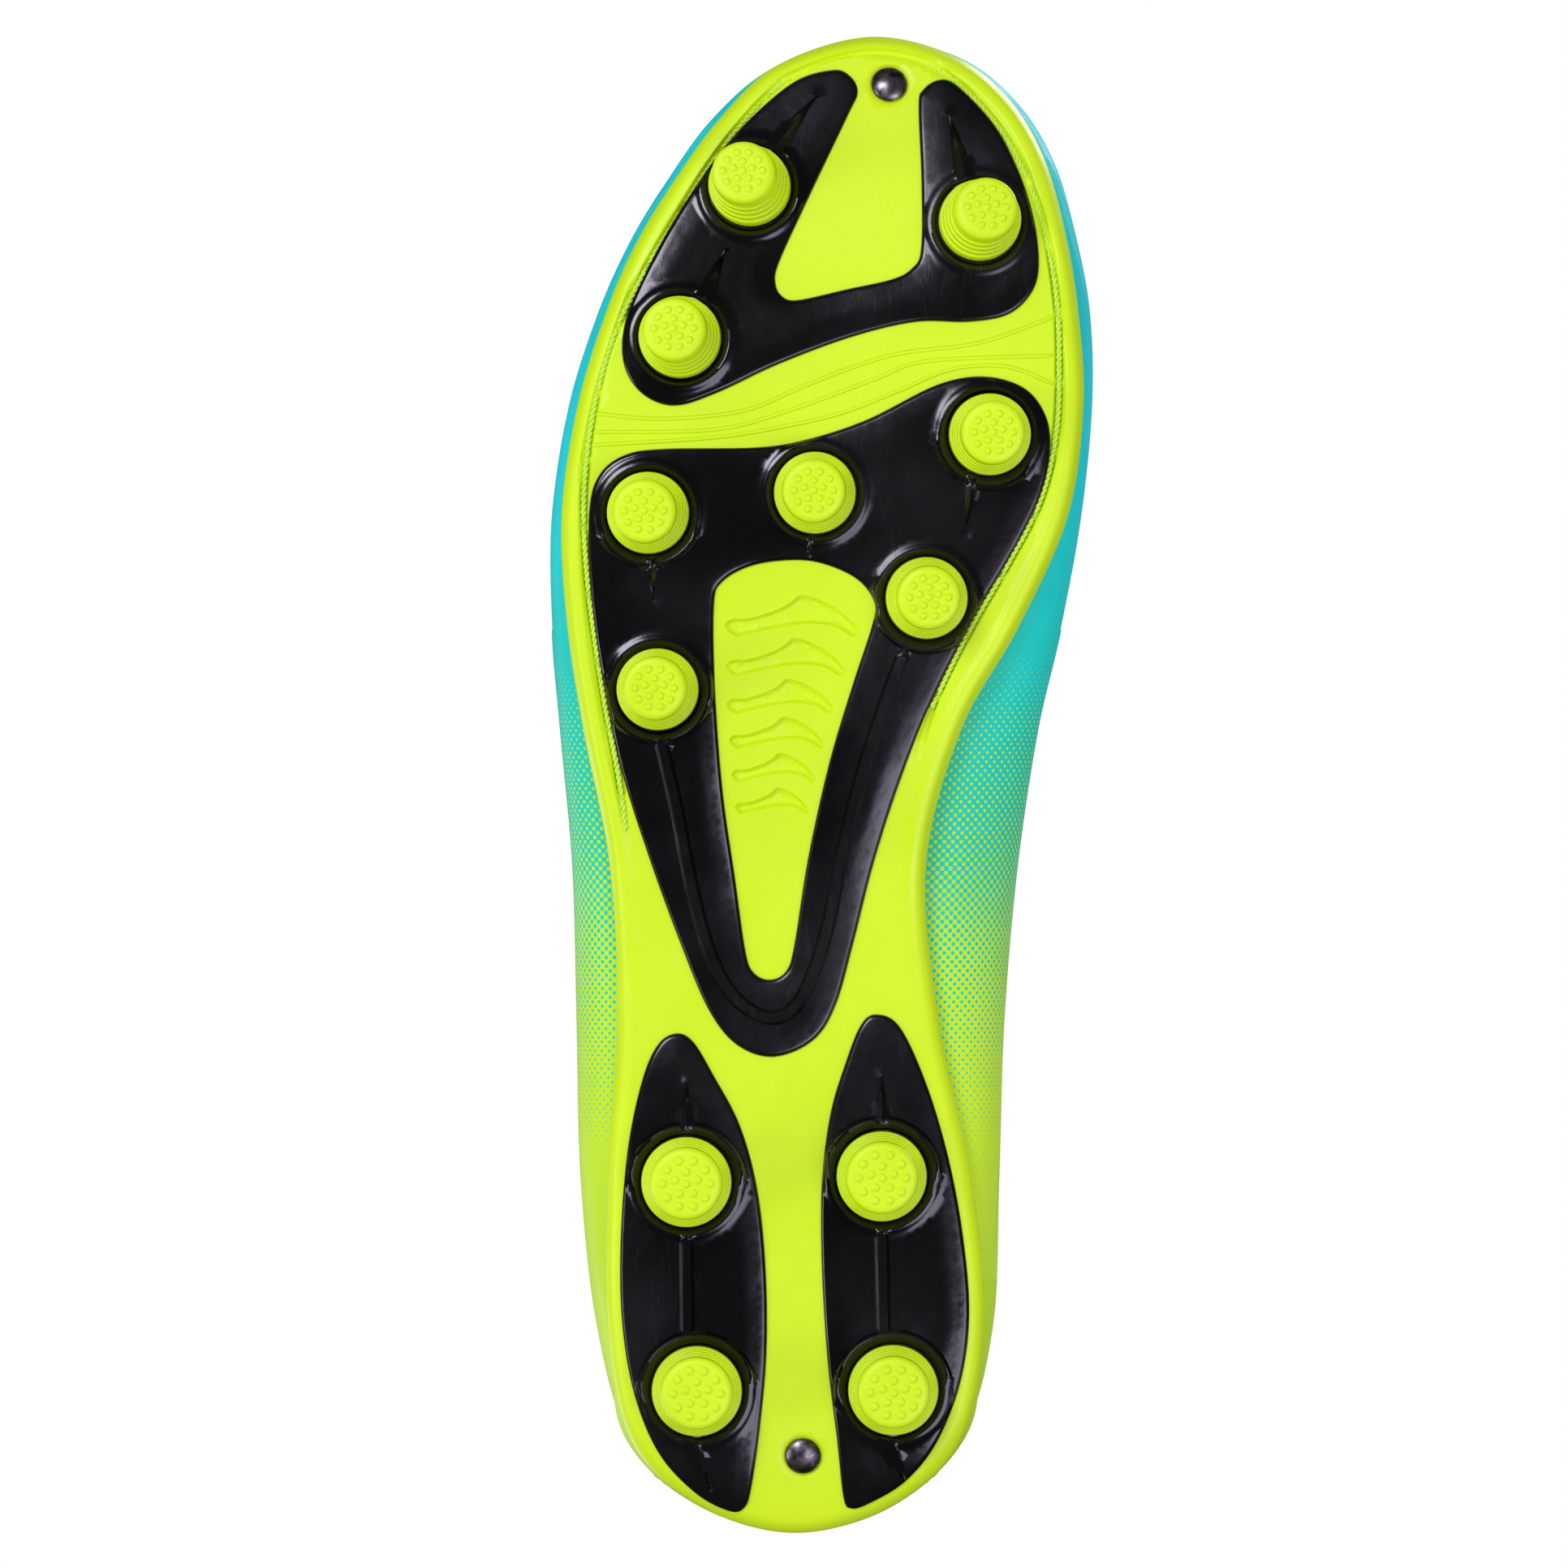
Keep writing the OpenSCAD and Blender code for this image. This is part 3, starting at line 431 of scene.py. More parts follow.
def round_over(share):
    """Height of a quarter circle, from 0 at share 0 to 1 at share 1 and over."""
    return np.sqrt(1 - (1 - np.clip(share, 0, 1)) ** 2)


def beside(line, offsets):
    """Lines at the given distances to the left of a plan line."""
    side = normals(line)
    return [(line + w * side, False) for w in offsets]


def lathe(profile, n=72):
    """Closed solid of revolution about z, from (radius, height) pairs that start and end at 0."""
    w = np.arange(n) * 2 * math.pi / n
    points, rings = [], []
    for r, z in profile:
        if r < 1e-6:
            rings.append([len(points)])
            points.append((0, 0, z))
        else:
            rings.append(list(range(len(points), len(points) + n)))
            points.extend((r * math.cos(t), r * math.sin(t), z) for t in w)
    faces = []
    for a, b in zip(rings, rings[1:]):
        for i in range(n):
            j = (i + 1) % n
            quad = (a[i % len(a)], b[i % len(b)], b[j % len(b)], a[j % len(a)])
            faces.append(tuple(dict.fromkeys(quad)))
    return np.array(points, float), faces


def place(points, x, y, lean=0.0):
    """Moves points drawn about a spot of the sole's underside to that spot."""
    m = np.array(Matrix.Rotation(lean, 3, "X"))
    return points @ m.T + (x, y, float(sole_z(y)))


def quads(m, n):
    """Faces between m rings of n points."""
    return [(i * n + j, (i + 1) * n + j, (i + 1) * n + (j + 1) % n, i * n + (j + 1) % n)
            for i in range(m - 1) for j in range(n)]


def frames(path):
    """Two unit directions across a path at each of its points, without twist."""
    t = unit(np.gradient(path, axis=0))
    side = [unit(np.cross(t[0], (0, 0, 1)))]
    for k in range(1, len(t)):
        side.append(unit(side[-1] - t[k] * (side[-1] @ t[k])))
    side = np.array(side)
    return side, np.cross(t, side)


def tube(path, r, n):
    """Closed round tube along a path."""
    a, b = frames(path)
    w = np.arange(n) * 2 * math.pi / n
    grid = path[:, None] + r * (np.cos(w)[None, :, None] * a[:, None]
                                + np.sin(w)[None, :, None] * b[:, None])
    m = len(path)
    ends = [tuple(range(n))[::-1], tuple(range((m - 1) * n, m * n))]
    return grid.reshape(-1, 3), quads(m, n) + ends


def joined(parts):
    points, faces, n = [], [], 0
    for p, f in parts:
        points.append(np.asarray(p, float))
        faces += [tuple(int(k) + n for k in face) for face in f]
        n += len(p)
    return np.vstack(points), faces


def plies(path, r=.3, apart=.27, pitch=2.4):
    """Two strands twisted round a path."""
    a, b = frames(path)
    w = 2 * math.pi * along(path) / pitch
    strands = []
    for turn in (0, math.pi):
        c, d = np.cos(w + turn)[:, None], np.sin(w + turn)[:, None]
        strands.append(tube(path + apart * (c * a + d * b), r, 7))
    return joined(strands)


def grid_solid(grid):
    """Closed solid from rings of points; its first and last rings are capped."""
    m, n = grid.shape[:2]
    points = np.vstack([grid.reshape(-1, 3), grid[0].mean(0), grid[-1].mean(0)])
    a, b = m * n, m * n + 1
    faces = quads(m, n) + [(a, j, (j + 1) % n) for j in range(n)]
    faces += [(b, (m - 1) * n + (j + 1) % n, (m - 1) * n + j) for j in range(n)]
    return points, faces


# --- Finishes ------------
def srgb(r, g, b):
    """Linear colour of an 8-bit screen colour."""
    v = np.array([r, g, b]) / 255
    return (*np.where(v < .04045, v / 12.92, ((v + .055) / 1.055) ** 2.4).tolist(), 1)


# Materials by their names and by the slots that wear them.
LOOKS = {}


class Nodes:
    """Adds nodes to a shader tree. Their inputs are values or the outputs of other nodes."""
    def __init__(self, tree):
        self.tree = tree

    def feed(self, socket, value):
        if isinstance(value, bpy.types.NodeSocket):
            self.tree.links.new(value, socket)
        else:
            socket.default_value = value

    def node(self, kind, *inputs, **settings):
        """A node with its settings and its inputs in order; None leaves an input alone."""
        n = self.tree.nodes.new("ShaderNode" + kind)
        for k, v in settings.items():
            setattr(n, k, v)
        for socket, value in zip(n.inputs, inputs):
            if value is not None:
                self.feed(socket, value)
        return n

    def maths(self, operation, *inputs, clamp=False):
        return self.node("Math", *inputs, operation=operation, use_clamp=clamp).outputs[0]

    def between(self, value, low, high, to_low=0, to_high=1):
        return self.node("MapRange", value, low, high, to_low, to_high).outputs[0]

    def mixed(self, share, a, b):
        return self.node("MixRGB", share, a, b).outputs[0]


class Look(Nodes):
    """A material with a Principled shader; where holds its object coordinates."""
    def __init__(self, name, **values):
        self.material = LOOKS[name] = bpy.data.materials.new(name)
        self.material.use_nodes = True
        super().__init__(self.material.node_tree)
        self.shader = self.tree.nodes["Principled BSDF"]
        self.put(**values)
        self.where = self.node("TexCoord").outputs["Object"]

    def put(self, **values):
        for key, value in values.items():
            self.feed(self.shader.inputs[key.replace("_", " ")], value)

    def noise(self, scale, detail=3.0, rough=.5, where=None):
        where = self.where if where is None else where
        return self.node("TexNoise", where, None, scale, detail, rough).outputs["Fac"]

    def patches(self, scale, detail, low=.35, high=.65, rough=.5):
        """Noise as a share from 0 to 1, with a soft step from low to high."""
        return self.between(self.noise(scale, detail, rough), low, high)

    def stretched(self, *inputs):
        return self.node("Mapping", self.where, None, *inputs).outputs[0]

    def grain(self, cell):
        n = self.node("TexVoronoi", self.where, None, cell, feature="SMOOTH_F1")
        return n.outputs["Distance"]

    def bumped(self, *layers):
        """Bump from (height, strength, depth in metres) layers."""
        normal = None
        for height, strength, depth in layers:
            normal = self.node("Bump", strength, depth, None, height, normal).outputs[0]
        self.put(Normal=normal)


def moulded(name, colour, shade, rough):
    """Smooth moulded plastic, with a faint grain and mould sheen."""
    m = Look(name, Subsurface_Weight=.12, Subsurface_Radius=(.0012, .0012, .0004),
             Subsurface_Scale=1, IOR=1.48)
    m.put(Base_Color=m.mixed(m.patches(35, 4), shade, colour),
          Roughness=m.between(m.noise(90, 4), .3, .7, rough, rough + .1))
    m.bumped((m.noise(1500), .12, .0002), (m.noise(60, 2), .1, .001))


def glossy_black(name):
    """Black overlay with smears and, here and there, thin scratches."""
    m = Look(name, IOR=1.5, Coat_Weight=.3, Coat_Roughness=.16, Specular_Tint=(.86, .8, 1, 1))
    streaks = m.noise(1, 2, .6, m.stretched(None, (260, 260 * .08, 260)))
    thin = m.between(m.maths("ABSOLUTE", m.maths("SUBTRACT", streaks, .5)), 0, .01, 1, 0)
    marks = m.maths("MULTIPLY", thin, m.patches(30, 2, .55, .6))
    smear = m.between(m.noise(24, 5, .6), .45, .7, .17, .36)
    m.put(Base_Color=m.mixed(m.patches(50, 4, .4, .62), (.0012, .0012, .001, 1),
                             (.004, .0036, .0034, 1)),
          Roughness=m.maths("ADD", smear, m.maths("MULTIPLY", marks, .08)))
    m.bumped((m.noise(45), .35, .0014), (m.noise(900, 2), .08, .0002), (marks, .05, .0001))


def worn_steel(name):
    m = Look(name, Metallic=1)
    m.put(Base_Color=m.mixed(m.patches(500, 4, .4), (.09, .075, .1, 1), (.34, .3, .36, 1)),
          Roughness=m.between(m.noise(1200, 4), .3, .7, .3, .42))
    m.bumped((m.noise(1300), .12, .0003))


def thread_look(name, colour, shade):
    m = Look(name, Roughness=.6, Sheen_Weight=.3)
    fibre = m.noise(1, where=m.stretched(None, (2500, 900, 2500)))
    m.put(Base_Color=m.mixed(m.between(fibre, .35, .65), shade, colour))
    m.bumped((fibre, .5, .0003))


def printed_upper(name):
    """Coated synthetic: a halftone screen runs from cyan at the toe to yellow at the heel.
    The "print" UV map holds millimetres along the shoe and up its side."""
    m = Look(name, IOR=1.38)
    u, v = m.node("SeparateXYZ", m.node("UVMap", uv_map="print").outputs[0]).outputs[:2]
    dots = 2 * math.pi / 1.7
    waves = [m.maths("COSINE", m.maths("MULTIPLY", m.maths(k, u, v), dots))
             for k in ("ADD", "SUBTRACT")]
    screen = m.maths("MULTIPLY", m.maths("ADD", *waves), .5)
    level = m.between(u, 29, -70, 0, .95)
    cut = m.maths("SUBTRACT", 1, m.maths("MULTIPLY", level, 2))
    ink = m.between(m.maths("SUBTRACT", screen, cut), -.1, .1)
    ink = m.maths("MULTIPLY", ink, m.between(u, 28, 12), clamp=True)
    ink = m.maths("ADD", ink, m.between(u, -116, -130), clamp=True)
    tone = m.patches(18, 3)
    cyan = m.mixed(tone, srgb(0, 202, 212), srgb(4, 220, 228))
    # From the ball backwards the cyan is mixed towards teal: painted bounce light from the lime
    # plate.
    cyan = m.mixed(m.between(u, 55, 5, 0, .7), cyan, srgb(10, 208, 172))
    yellow = m.mixed(tone, srgb(190, 228, 20), srgb(206, 240, 36))
    m.put(Base_Color=m.mixed(ink, cyan, yellow),
          Roughness=m.between(m.noise(160, 4), .3, .7, .46, .6))
    m.bumped((m.grain(1500), .22, .0002), (ink, .25, .00006), (m.noise(70), .12, .0008))


def soft_black(name, colour, shade, cell):
    """Synthetic suede or leather trim with a pebbled grain."""
    m = Look(name, Sheen_Weight=.15)
    grain = m.grain(cell)
    m.put(Base_Color=m.mixed(m.patches(45, 4), shade, colour),
          Roughness=m.between(grain, 0, 1, .75 - .15, .75))
    m.bumped((grain, .4, .0003), (m.noise(90), .15, .0008))


def knitted(name, colour, shade, pitch):
    """Knitted cloth with rows of small loops."""
    m = Look(name, Roughness=.9, Sheen_Weight=.4, Sheen_Roughness=.5)
    x, y, z = m.node("SeparateXYZ", m.stretched((.5, .6, .4), (pitch,) * 3)).outputs
    a, b = m.maths("SINE", m.maths("ADD", x, z)), m.maths("SINE", m.maths("SUBTRACT", y, z))
    loops = m.between(m.maths("MULTIPLY", a, b), -1, 1)
    height = m.maths("ADD", loops, m.maths("MULTIPLY", m.noise(2500), .4))
    # The hollows between the loops take the darker colour: painted shade.
    m.put(Base_Color=m.mixed(m.between(height, .2, 1.1), shade, colour))
    m.bumped((height, .55, .0004))


def felted(name, colour, shade):
    """Pressed fibre board or foam with flecks."""
    m = Look(name, Roughness=.9)
    fleck = m.patches(1100, 5, rough=.7)
    m.put(Base_Color=m.mixed(fleck, shade, colour))
    m.bumped((fleck, .4, .0003))


moulded("plate_lime", srgb(210, 240, 16), srgb(203, 235, 10), .34)
moulded("stud_lime", srgb(210, 241, 16), srgb(203, 235, 10), .38)
glossy_black("overlay_black")
worn_steel("rivet_steel")
thread_look("thread_lime", srgb(218, 246, 90), srgb(190, 230, 40))
thread_look("thread_cyan", srgb(24, 196, 210), srgb(12, 150, 170))
printed_upper("upper_print")
soft_black("trim_black", srgb(36, 36, 40), srgb(26, 26, 29), 900)
knitted("lining_fabric", srgb(52, 54, 58), srgb(18, 19, 21), 5200)
knitted("collar_knit", srgb(40, 41, 45), srgb(14, 14, 16), 4200)
knitted("foam_liner", srgb(198, 234, 60), srgb(120, 170, 30), 5600)
felted("board", srgb(212, 204, 186), srgb(172, 160, 138))
felted("stiffener", srgb(205, 200, 188), srgb(176, 170, 156))
LOOKS["collar_foam"] = LOOKS["collar_knit"]
for slot_name in ("upper_cyan", "upper_halftone", "upper_lime"):
    LOOKS[slot_name] = LOOKS["upper_print"]


# --- Sole ------------
def flexes(*pieces):
    """Pieces that lie across the flex line; only their placement is baked into their meshes."""
    for piece in pieces:
        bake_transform(piece)


def away_from(p, centre):
    return np.hypot(p[:, 0] - centre[0], p[:, 1] - centre[1])


def groove_depth(p):
    """Stitch groove, which runs out at both of its ends."""
    fade = ease((p[:, 1] + 9 - np.where(p[:, 0] < 0, 11, 0)) / 8)
    return .85 * fade * ease((1.0 - distance(p, run(STITCH, 6))) / .55)


def rim_bead(y, d):
    """Raised border of the forefoot against the distance from the edge."""
    return .55 * ease((y + 25) / 30) * ease((d - .4) / 1.0) * ease((4.0 - d) / .7)


def rib_outlines():
    outlines = []
    for (x, y), width in RIBS:
        tall = (width / RIBS[0][1]) ** .75
        p = np.array([[x - u * width, y + v * tall] for u, v in RIB])
        outlines.append(even(loop(p, 4), .45, True))
    return outlines


def pressed(p, outlines, depth, slope):
    """Height of pressed-in shapes with sloping sides and a fine raised lip."""
    h = np.zeros(len(p))
    for q in outlines:
        near = np.all((p > q.min(0) - 1) & (p < q.max(0) + 1), axis=1)
        if near.any():
            away, inside = distance(p[near], q, True), within(p[near], q)
            lip = -.09 * ease((.75 - away) / .5)
            h[near] += np.where(inside, (depth - lip) * ease(away / slope) + lip, lip)
    return h


def underside(p, edge):
    """Height of the plate's lower face."""
    d = distance(p, edge, True)
    z = sole_z(p[:, 1]) - rim_bead(p[:, 1], d) + groove_depth(p)
    z += pressed(p, rib_outlines(), .9, .75)
    for q in FLEX_LINES:
        z -= .34 * ease((.4 - distance(p, run(q, 6))) / .22)
    for spot in RIVETS.values():
        z += .3 * ease((3.9 - away_from(p, spot)) / .3)
    return z


# Section of the plate's edge: distance inward, height over the underside.
PLATE_EDGE = [(3.0, 0), (2.4, .05), (1.85, .2), (1.3, .5), (.8, .98), (.4, 1.6), (.12, 2.3),
              (0, 3.1), (0, 4.6), (.08, 5.1), (.3, 5.45), (.7, 5.6), (1.15, 5.55), (1.5, 5.3),
              (1.6, 4.9), (1.6, 3.1), (1.8, 2.85), (2.6, 2.8)]


def outsole_lines(s):
    """Lines of the underside that have to be edges of its mesh."""
    lines = rings_of([rim(s, 3.4), rim(s, 4.0)])
    lines += beside(even(run(STITCH, 6), .7), (-1, -.45, .45, 1))
    for q in FLEX_LINES:
        lines += beside(even(run(q, 6), .8), (-.42, -.18, .18, .42))
    ribs = rib_outlines()
    lines += rings_of(ribs + [inset(q, .6) for q in ribs])
    return lines + rings_of([circle(c, r, 48) for c in RIVETS.values() for r in (3.9, 3.6)])


def outsole():
    s = np.arange(STATIONS * 20) / 20
    start, end = rim(s, PLATE_EDGE[0][0]), rim(s, PLATE_EDGE[-1][0])
    lines = outsole_lines(s)
    v1, f1, r1 = triangles([start], lines, clear_of(hexes(start, 1.3, .5), lines, .5))
    v2, f2, r2 = triangles([end], [], field([end], 5))
    points = [np.column_stack([v1, underside(v1, rim(s, 0))])]
    rings, n = [np.array(r1[0])], len(v1)
    for d, h in PLATE_EDGE[1:-1]:
        q = rim(s, d)
        bead = rim_bead(q[:, 1], d) * (1 if h < 3 else 0)
        points.append(np.column_stack([q, sole_z(q[:, 1]) + h - bead]))
        rings.append(np.arange(n, n + len(s)))
        n += len(s)
    points.append(np.column_stack([v2, sole_z(v2[:, 1]) + PLATE_EDGE[-1][1]]))
    rings.append(n + np.array(r2[0]))
    faces = [tuple(f) for f in f1] + [tuple(n + f[::-1]) for f in f2]
    for a, b in zip(rings, rings[1:]):
        faces += [(a[i - 1], a[i], b[i], b[i - 1]) for i in range(len(s))]
    piece = made("outsole", (np.vstack(points), faces), "plate_lime", 50)
    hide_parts("plate_front", "plate_rear")
    flexes(piece)


def blade(p, a, b, width, tall):
    """Height of a sharp fin, wide and tall at a and running out at b."""
    a, b = np.array(a, float), np.array(b, float)
    d = b - a
    t = np.clip(((p - a) @ d) / (d @ d), -.1, 1)
    off = np.linalg.norm(p - a - t[:, None] * d, axis=1)
    half_width = np.maximum(width / 2 * (1 - t), 1e-3)
    return tall * (1 - .55 * np.clip(t, 0, 1)) * np.clip(1 - off / half_width, 0, 1)


def blade_lines(a, b, width):
    a, b = np.array(a, float), np.array(b, float)
    side = width / 2 * normals(np.array([a, b]))[0]
    return [(even(np.array([a + k * side, b]), .4), False) for k in (1, .5, 0, -.5, -1)]


def arc_collar(p, centre, r, facing, spread, tall):
    """Raised arc round a stud, highest towards facing (degrees in plan)."""
    away = away_from(p, centre)
    turn = np.degrees(np.arctan2(p[:, 1] - centre[1], p[:, 0] - centre[0])) - facing
    turn = np.abs((turn + 180) % 360 - 180)
    return tall * ease((spread - turn) / 35) * ease((away - r - 1.2) / .5) \
        * ease((r + 3.0 - away) / .6)


def overlay_lines(shaped, roots, fins, ribs):
    """Lines of an overlay, inside its outline, that have to be edges of its mesh."""
    edge, lines = shaped[0], []
    for q in shaped:
        sign = 1 if q is edge else -1
        lines += rings_of([inset(q, sign * d) for d in (.12, .34, .62, .95)])
    lines += rings_of([circle((x, y), r + d, 96) for x, y, r in roots
                       for d in (.3, .6, .9, 1.3, 1.8, 2.4, 3)])
    for fin in fins:
        lines += blade_lines(*fin[:3])
    for line, width, _ in ribs:
        lines += beside(even(line, .8), (-width / 2, -width / 2 + .6, width / 2 - .6, width / 2))
    lines = [(q[within(q, edge)], False) if not closed else (q, closed) for q, closed in lines]
    return [(q, closed) for q, closed in lines if len(q) > 2]


def overlay(name, outline, studs, fins=(), ribs=(), arcs=(), window=None):
    """Glossy relief moulded onto the plate; its studs stand in round sockets and low dishes."""
    shaped = [even(loop(q, 8), .7, True) for q in (outline, window) if q]
    roots = [STUDS[k] for k in studs]
    sockets = [circle((x, y), r - 1.0, 72) for x, y, r in roots]

    def height(p):
        e = np.minimum.reduce([distance(p, q, True) for q in shaped])
        extra, share = np.zeros(len(p)), np.ones(len(p))
        for x, y, r in roots:
            away = away_from(p, (x, y)) - r
            extra = np.maximum(extra, .45 * ease((away - .7) / .6) * ease((3 - away) / 1.2))
            share = np.minimum(share, .3 + .7 * ease((away - .3) / .6))
        for fin in fins:
            extra = np.maximum(extra, blade(p, *fin))
        for line, width, tall in ribs:
            extra = np.maximum(extra, tall * ease((width / 2 - distance(p, line)) / .6))
        for arc in arcs:
            extra = np.maximum(extra, arc_collar(p, *arc))
        h = .1 + .6 * round_over(e / .95) + .26 * ease(e / 4.5)
        return (h + extra * ease(e / .8)) * share

    solid = relief(shaped + sockets, overlay_lines(shaped, roots, fins, ribs), 1.1,
                   lambda p: sole_z(p[:, 1]) - height(p), lambda p: sole_z(p[:, 1]) + .35)
    return made(name, solid, "overlay_black", 40)


def front_overlays():
    toe = overlay("overlay_toe", TOE, ["toe_lateral_front", "toe_lateral_rear", "toe_medial"],
                  fins=[([8.7, 121.6], [1, 131.5], 4.6, 1.8), ([22.2, 92.8], [18.2, 102], 4.4, 1.8),
                        ([-27.6, 115.2], [-24.4, 128], 4.6, 1.8)])
    arcs = [(STUDS["ball_" + k][:2], 7.8, *rest) for k, *rest in (
        ("medial_rear", -80, 125, .8), ("lateral_rear", -95, 125, .8),
        ("medial_front", -70, 90, .65), ("lateral_front", -90, 90, .65))]
    ball = overlay("overlay_ball", BALL, [k for k in STUDS if k.startswith("ball")],
                   fins=[([2, 46.8], [2.6, 43.2], 2.2, .8), ([32.5, 43], [32, 35], 2.8, 1),
                         ([-28.7, 58], [-27.5, 48], 3, 1)],
                   ribs=[(run(V_RIB, 4), 2.8, .9)], arcs=arcs, window=WINDOW)
    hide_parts("toe_overlay")
    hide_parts("ball_overlay")
    flexes(toe, ball)


def heel_overlay(side, outline):
    front, rear = (STUDS[f"heel_{side}_{k}"][:2] for k in ("front", "rear"))
    rib = np.array([[rear[0] + 1.8, rear[1] + 11], [front[0], front[1] - 10.8]])
    piece = overlay(
        f"overlay_heel_{side}", outline, [f"heel_{side}_front", f"heel_{side}_rear"],
        fins=[([front[0], front[1] + 10.8], [front[0], front[1] + 19], 3.6, 1.2),
              ([rear[0] + 1, rear[1] - 9.6], [rear[0] - 3, rear[1] - 19], 3.6, 1.2)],
        ribs=[(rib, 2.8, .85)],
        arcs=[(front, 8.6, 90, 110, .85), (rear, 8.6, 80, 110, .85)])
    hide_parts(f"heel_overlay_{side}")
    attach(piece, "rear_shoe")


def stud_profile(r, h):
    """Terraced section of a stud, from its root to the edge of its tip."""
    profile = [(0, 1.3), (r - 1.1, 1.3), (r - 1.1, -.2), (r - .25, -.25), (r - .04, -.4),
               (r, -.7), (r - .06, -h * .2)]
    for k in range(4):
        low, out = -h * (.23 + .13 * k), r - .1 - .38 * k
        profile += [(out - .06, low), (out - .2, low - .14), (out - .36, low - .18),
                    (out - .4, low - .3)]
    return profile + [(r - 1.72, -h + 1.7), (r - 1.82, -h + 1.25), (r - 2.02, -h + .88),
                      (r - 2.32, -h + .64), (r - 2.7, -h + .5), (r - 3.0, -h + .45)]


def stud_shape(r, h):
    """Terraced stud about its own axis, root up, with a pimpled tip."""
    points, faces = lathe(stud_profile(r, h), 96)
    last = np.arange(len(points) - 96, len(points))
    edge = points[last][:, :2]
    size, ring = .17 * (r - 3), r - 4.1
    bumps = [(0, 0)] + [(share * ring * math.cos(k), share * ring * math.sin(k))
                        for share, n, turn in ((.5, 5, .3), (1, 10, 0))
                        for k in np.arange(n) * 2 * math.pi / n + turn]
    lines = rings_of([circle(c, q * size, 12) for c in bumps for q in (1, .6)])
    v, f, rings = triangles([edge], lines, clear_of(hexes(edge, .7, .35), lines, .25))
    z = np.full(len(v), -h + .45)
    for c in bumps:
        z -= .45 * np.sqrt(np.clip(1 - (away_from(v, c) / size) ** 2, 0, 1))
    n = len(points)
    new = {n + k: int(last[i]) for i, k in enumerate(rings[0])}
    faces += [tuple(new.get(n + int(k), n + int(k)) for k in t) for t in f]
    return np.vstack([points, np.column_stack([v, z])]), faces


# How far each stud's tip stands off its root's centre, to the side and to the toe.
SPLAY = {"toe_lateral_front": (1.5, .7), "toe_lateral_rear": (1.3, .6), "toe_medial": (-1.4, .6),
         "ball_medial_front": (-.6, .2), "ball_center": (.3, .3), "ball_lateral_front": (.8, .2),
         "ball_medial_rear": (-.4, 0), "ball_lateral_rear": (.6, .2)}
# Studs near enough to the flex line to be baked in place like the sole under them, not attached to
# a body.
FLEXED_STUDS = ("toe_lateral_rear", "toe_medial", "ball_medial_front", "ball_center",
                "ball_lateral_front")


def studs():
    for name, (x, y, r) in STUDS.items():
        toe = name.startswith("toe")
        h = TOE_STUD if toe else float(sole_z(y))
        points, faces = stud_shape(r, h)
        points[:, :2] += np.clip(-points[:, 2:] / h, 0, 1) * SPLAY.get(name, (0, 0))
        lean = math.radians(TOE_LEAN * (y - TOE_START)) if toe else 0
        piece = made("cleat_" + name, (place(points, x, y, lean), faces), "stud_lime", 35)
        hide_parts("stud_" + name)
        if name in FLEXED_STUDS:
            flexes(piece)
        else:
            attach(piece, "forefoot" if name == "toe_lateral_front" else "rear_shoe")


def rivets():
    points, faces = lathe([
        (0, 2.4), (1.5, 2.4), (1.5, .1), (3.2, .1), (3.42, -.02), (3.44, -.2), (3.3, -.42),
        (2.9, -.72), (2.2, -1.04), (1.4, -1.26), (.6, -1.37), (0, -1.4)])
    for name, (x, y) in RIVETS.items():
        solid = place(points, x, y, float(sole_slope(y))), faces
        piece = made(name + "_head", solid, "rivet_steel", 40)
        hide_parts(name)
        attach(piece, "forefoot" if name == "toe_rivet" else "rear_shoe")


def sole_thread():
    step, repeat = .3, 13
    line = even(run(STITCH[:25], 8), step)
    dip = .75 * ease(1 - np.abs(step * np.arange(len(line)) % repeat - repeat / 2) / 1.3)
    dip += .8 * ease((line[:, 1] - 96) / 12)
    path = np.column_stack([line, sole_z(line[:, 1]) + .12 + dip])
    piece = made("sole_thread", plies(path), "thread_lime", 60)
    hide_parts("sole_stitch")
    flexes(piece)


# --- Upper ------------
# Panels are cut in a flat plane: 14 mm to a station along the shoe, 45 mm to a unit of height.
# The lateral side has positive stations, and the medial side negative ones.
SX, SY = 14.0, 45.0
RIDGE = 3 * SY
EYELETS = [8.15, 8.65, 9.15, 9.65, 10.23, 10.81]


def flat(points):
    return np.asarray(points, float) * (SX, SY)


def wrap(p, d):
    """Places flat points on the upper, d above its surface."""
    return layer(p[:, 0] / SX, p[:, 1] / SY, d)


def climb(p):
    """Length up the side from the widest line, in millimetres."""
    s, a = p[:, :1] / SX, p[:, 1:] / SY
    rows = skin(s, 2 + (a - 2) * np.linspace(0, 1, 17))
    return np.linalg.norm(np.diff(rows, axis=1), axis=2).sum(1) * np.sign(a[:, 0] - 2)


def free_edge(outline):
    """The part of an outline that isn't on the ridge, as an open line, and whether it is all."""
    ridge = outline[:, 1] > RIDGE - .01
    if not ridge.any():
        return outline, True
    start = np.where(ridge & ~np.roll(ridge, -1))[0][0]
    line = np.roll(outline, -start, 0)
    return line[:len(line) - ridge.sum() + 2], False


def constant(d):
    return lambda p: np.full(len(p), d)


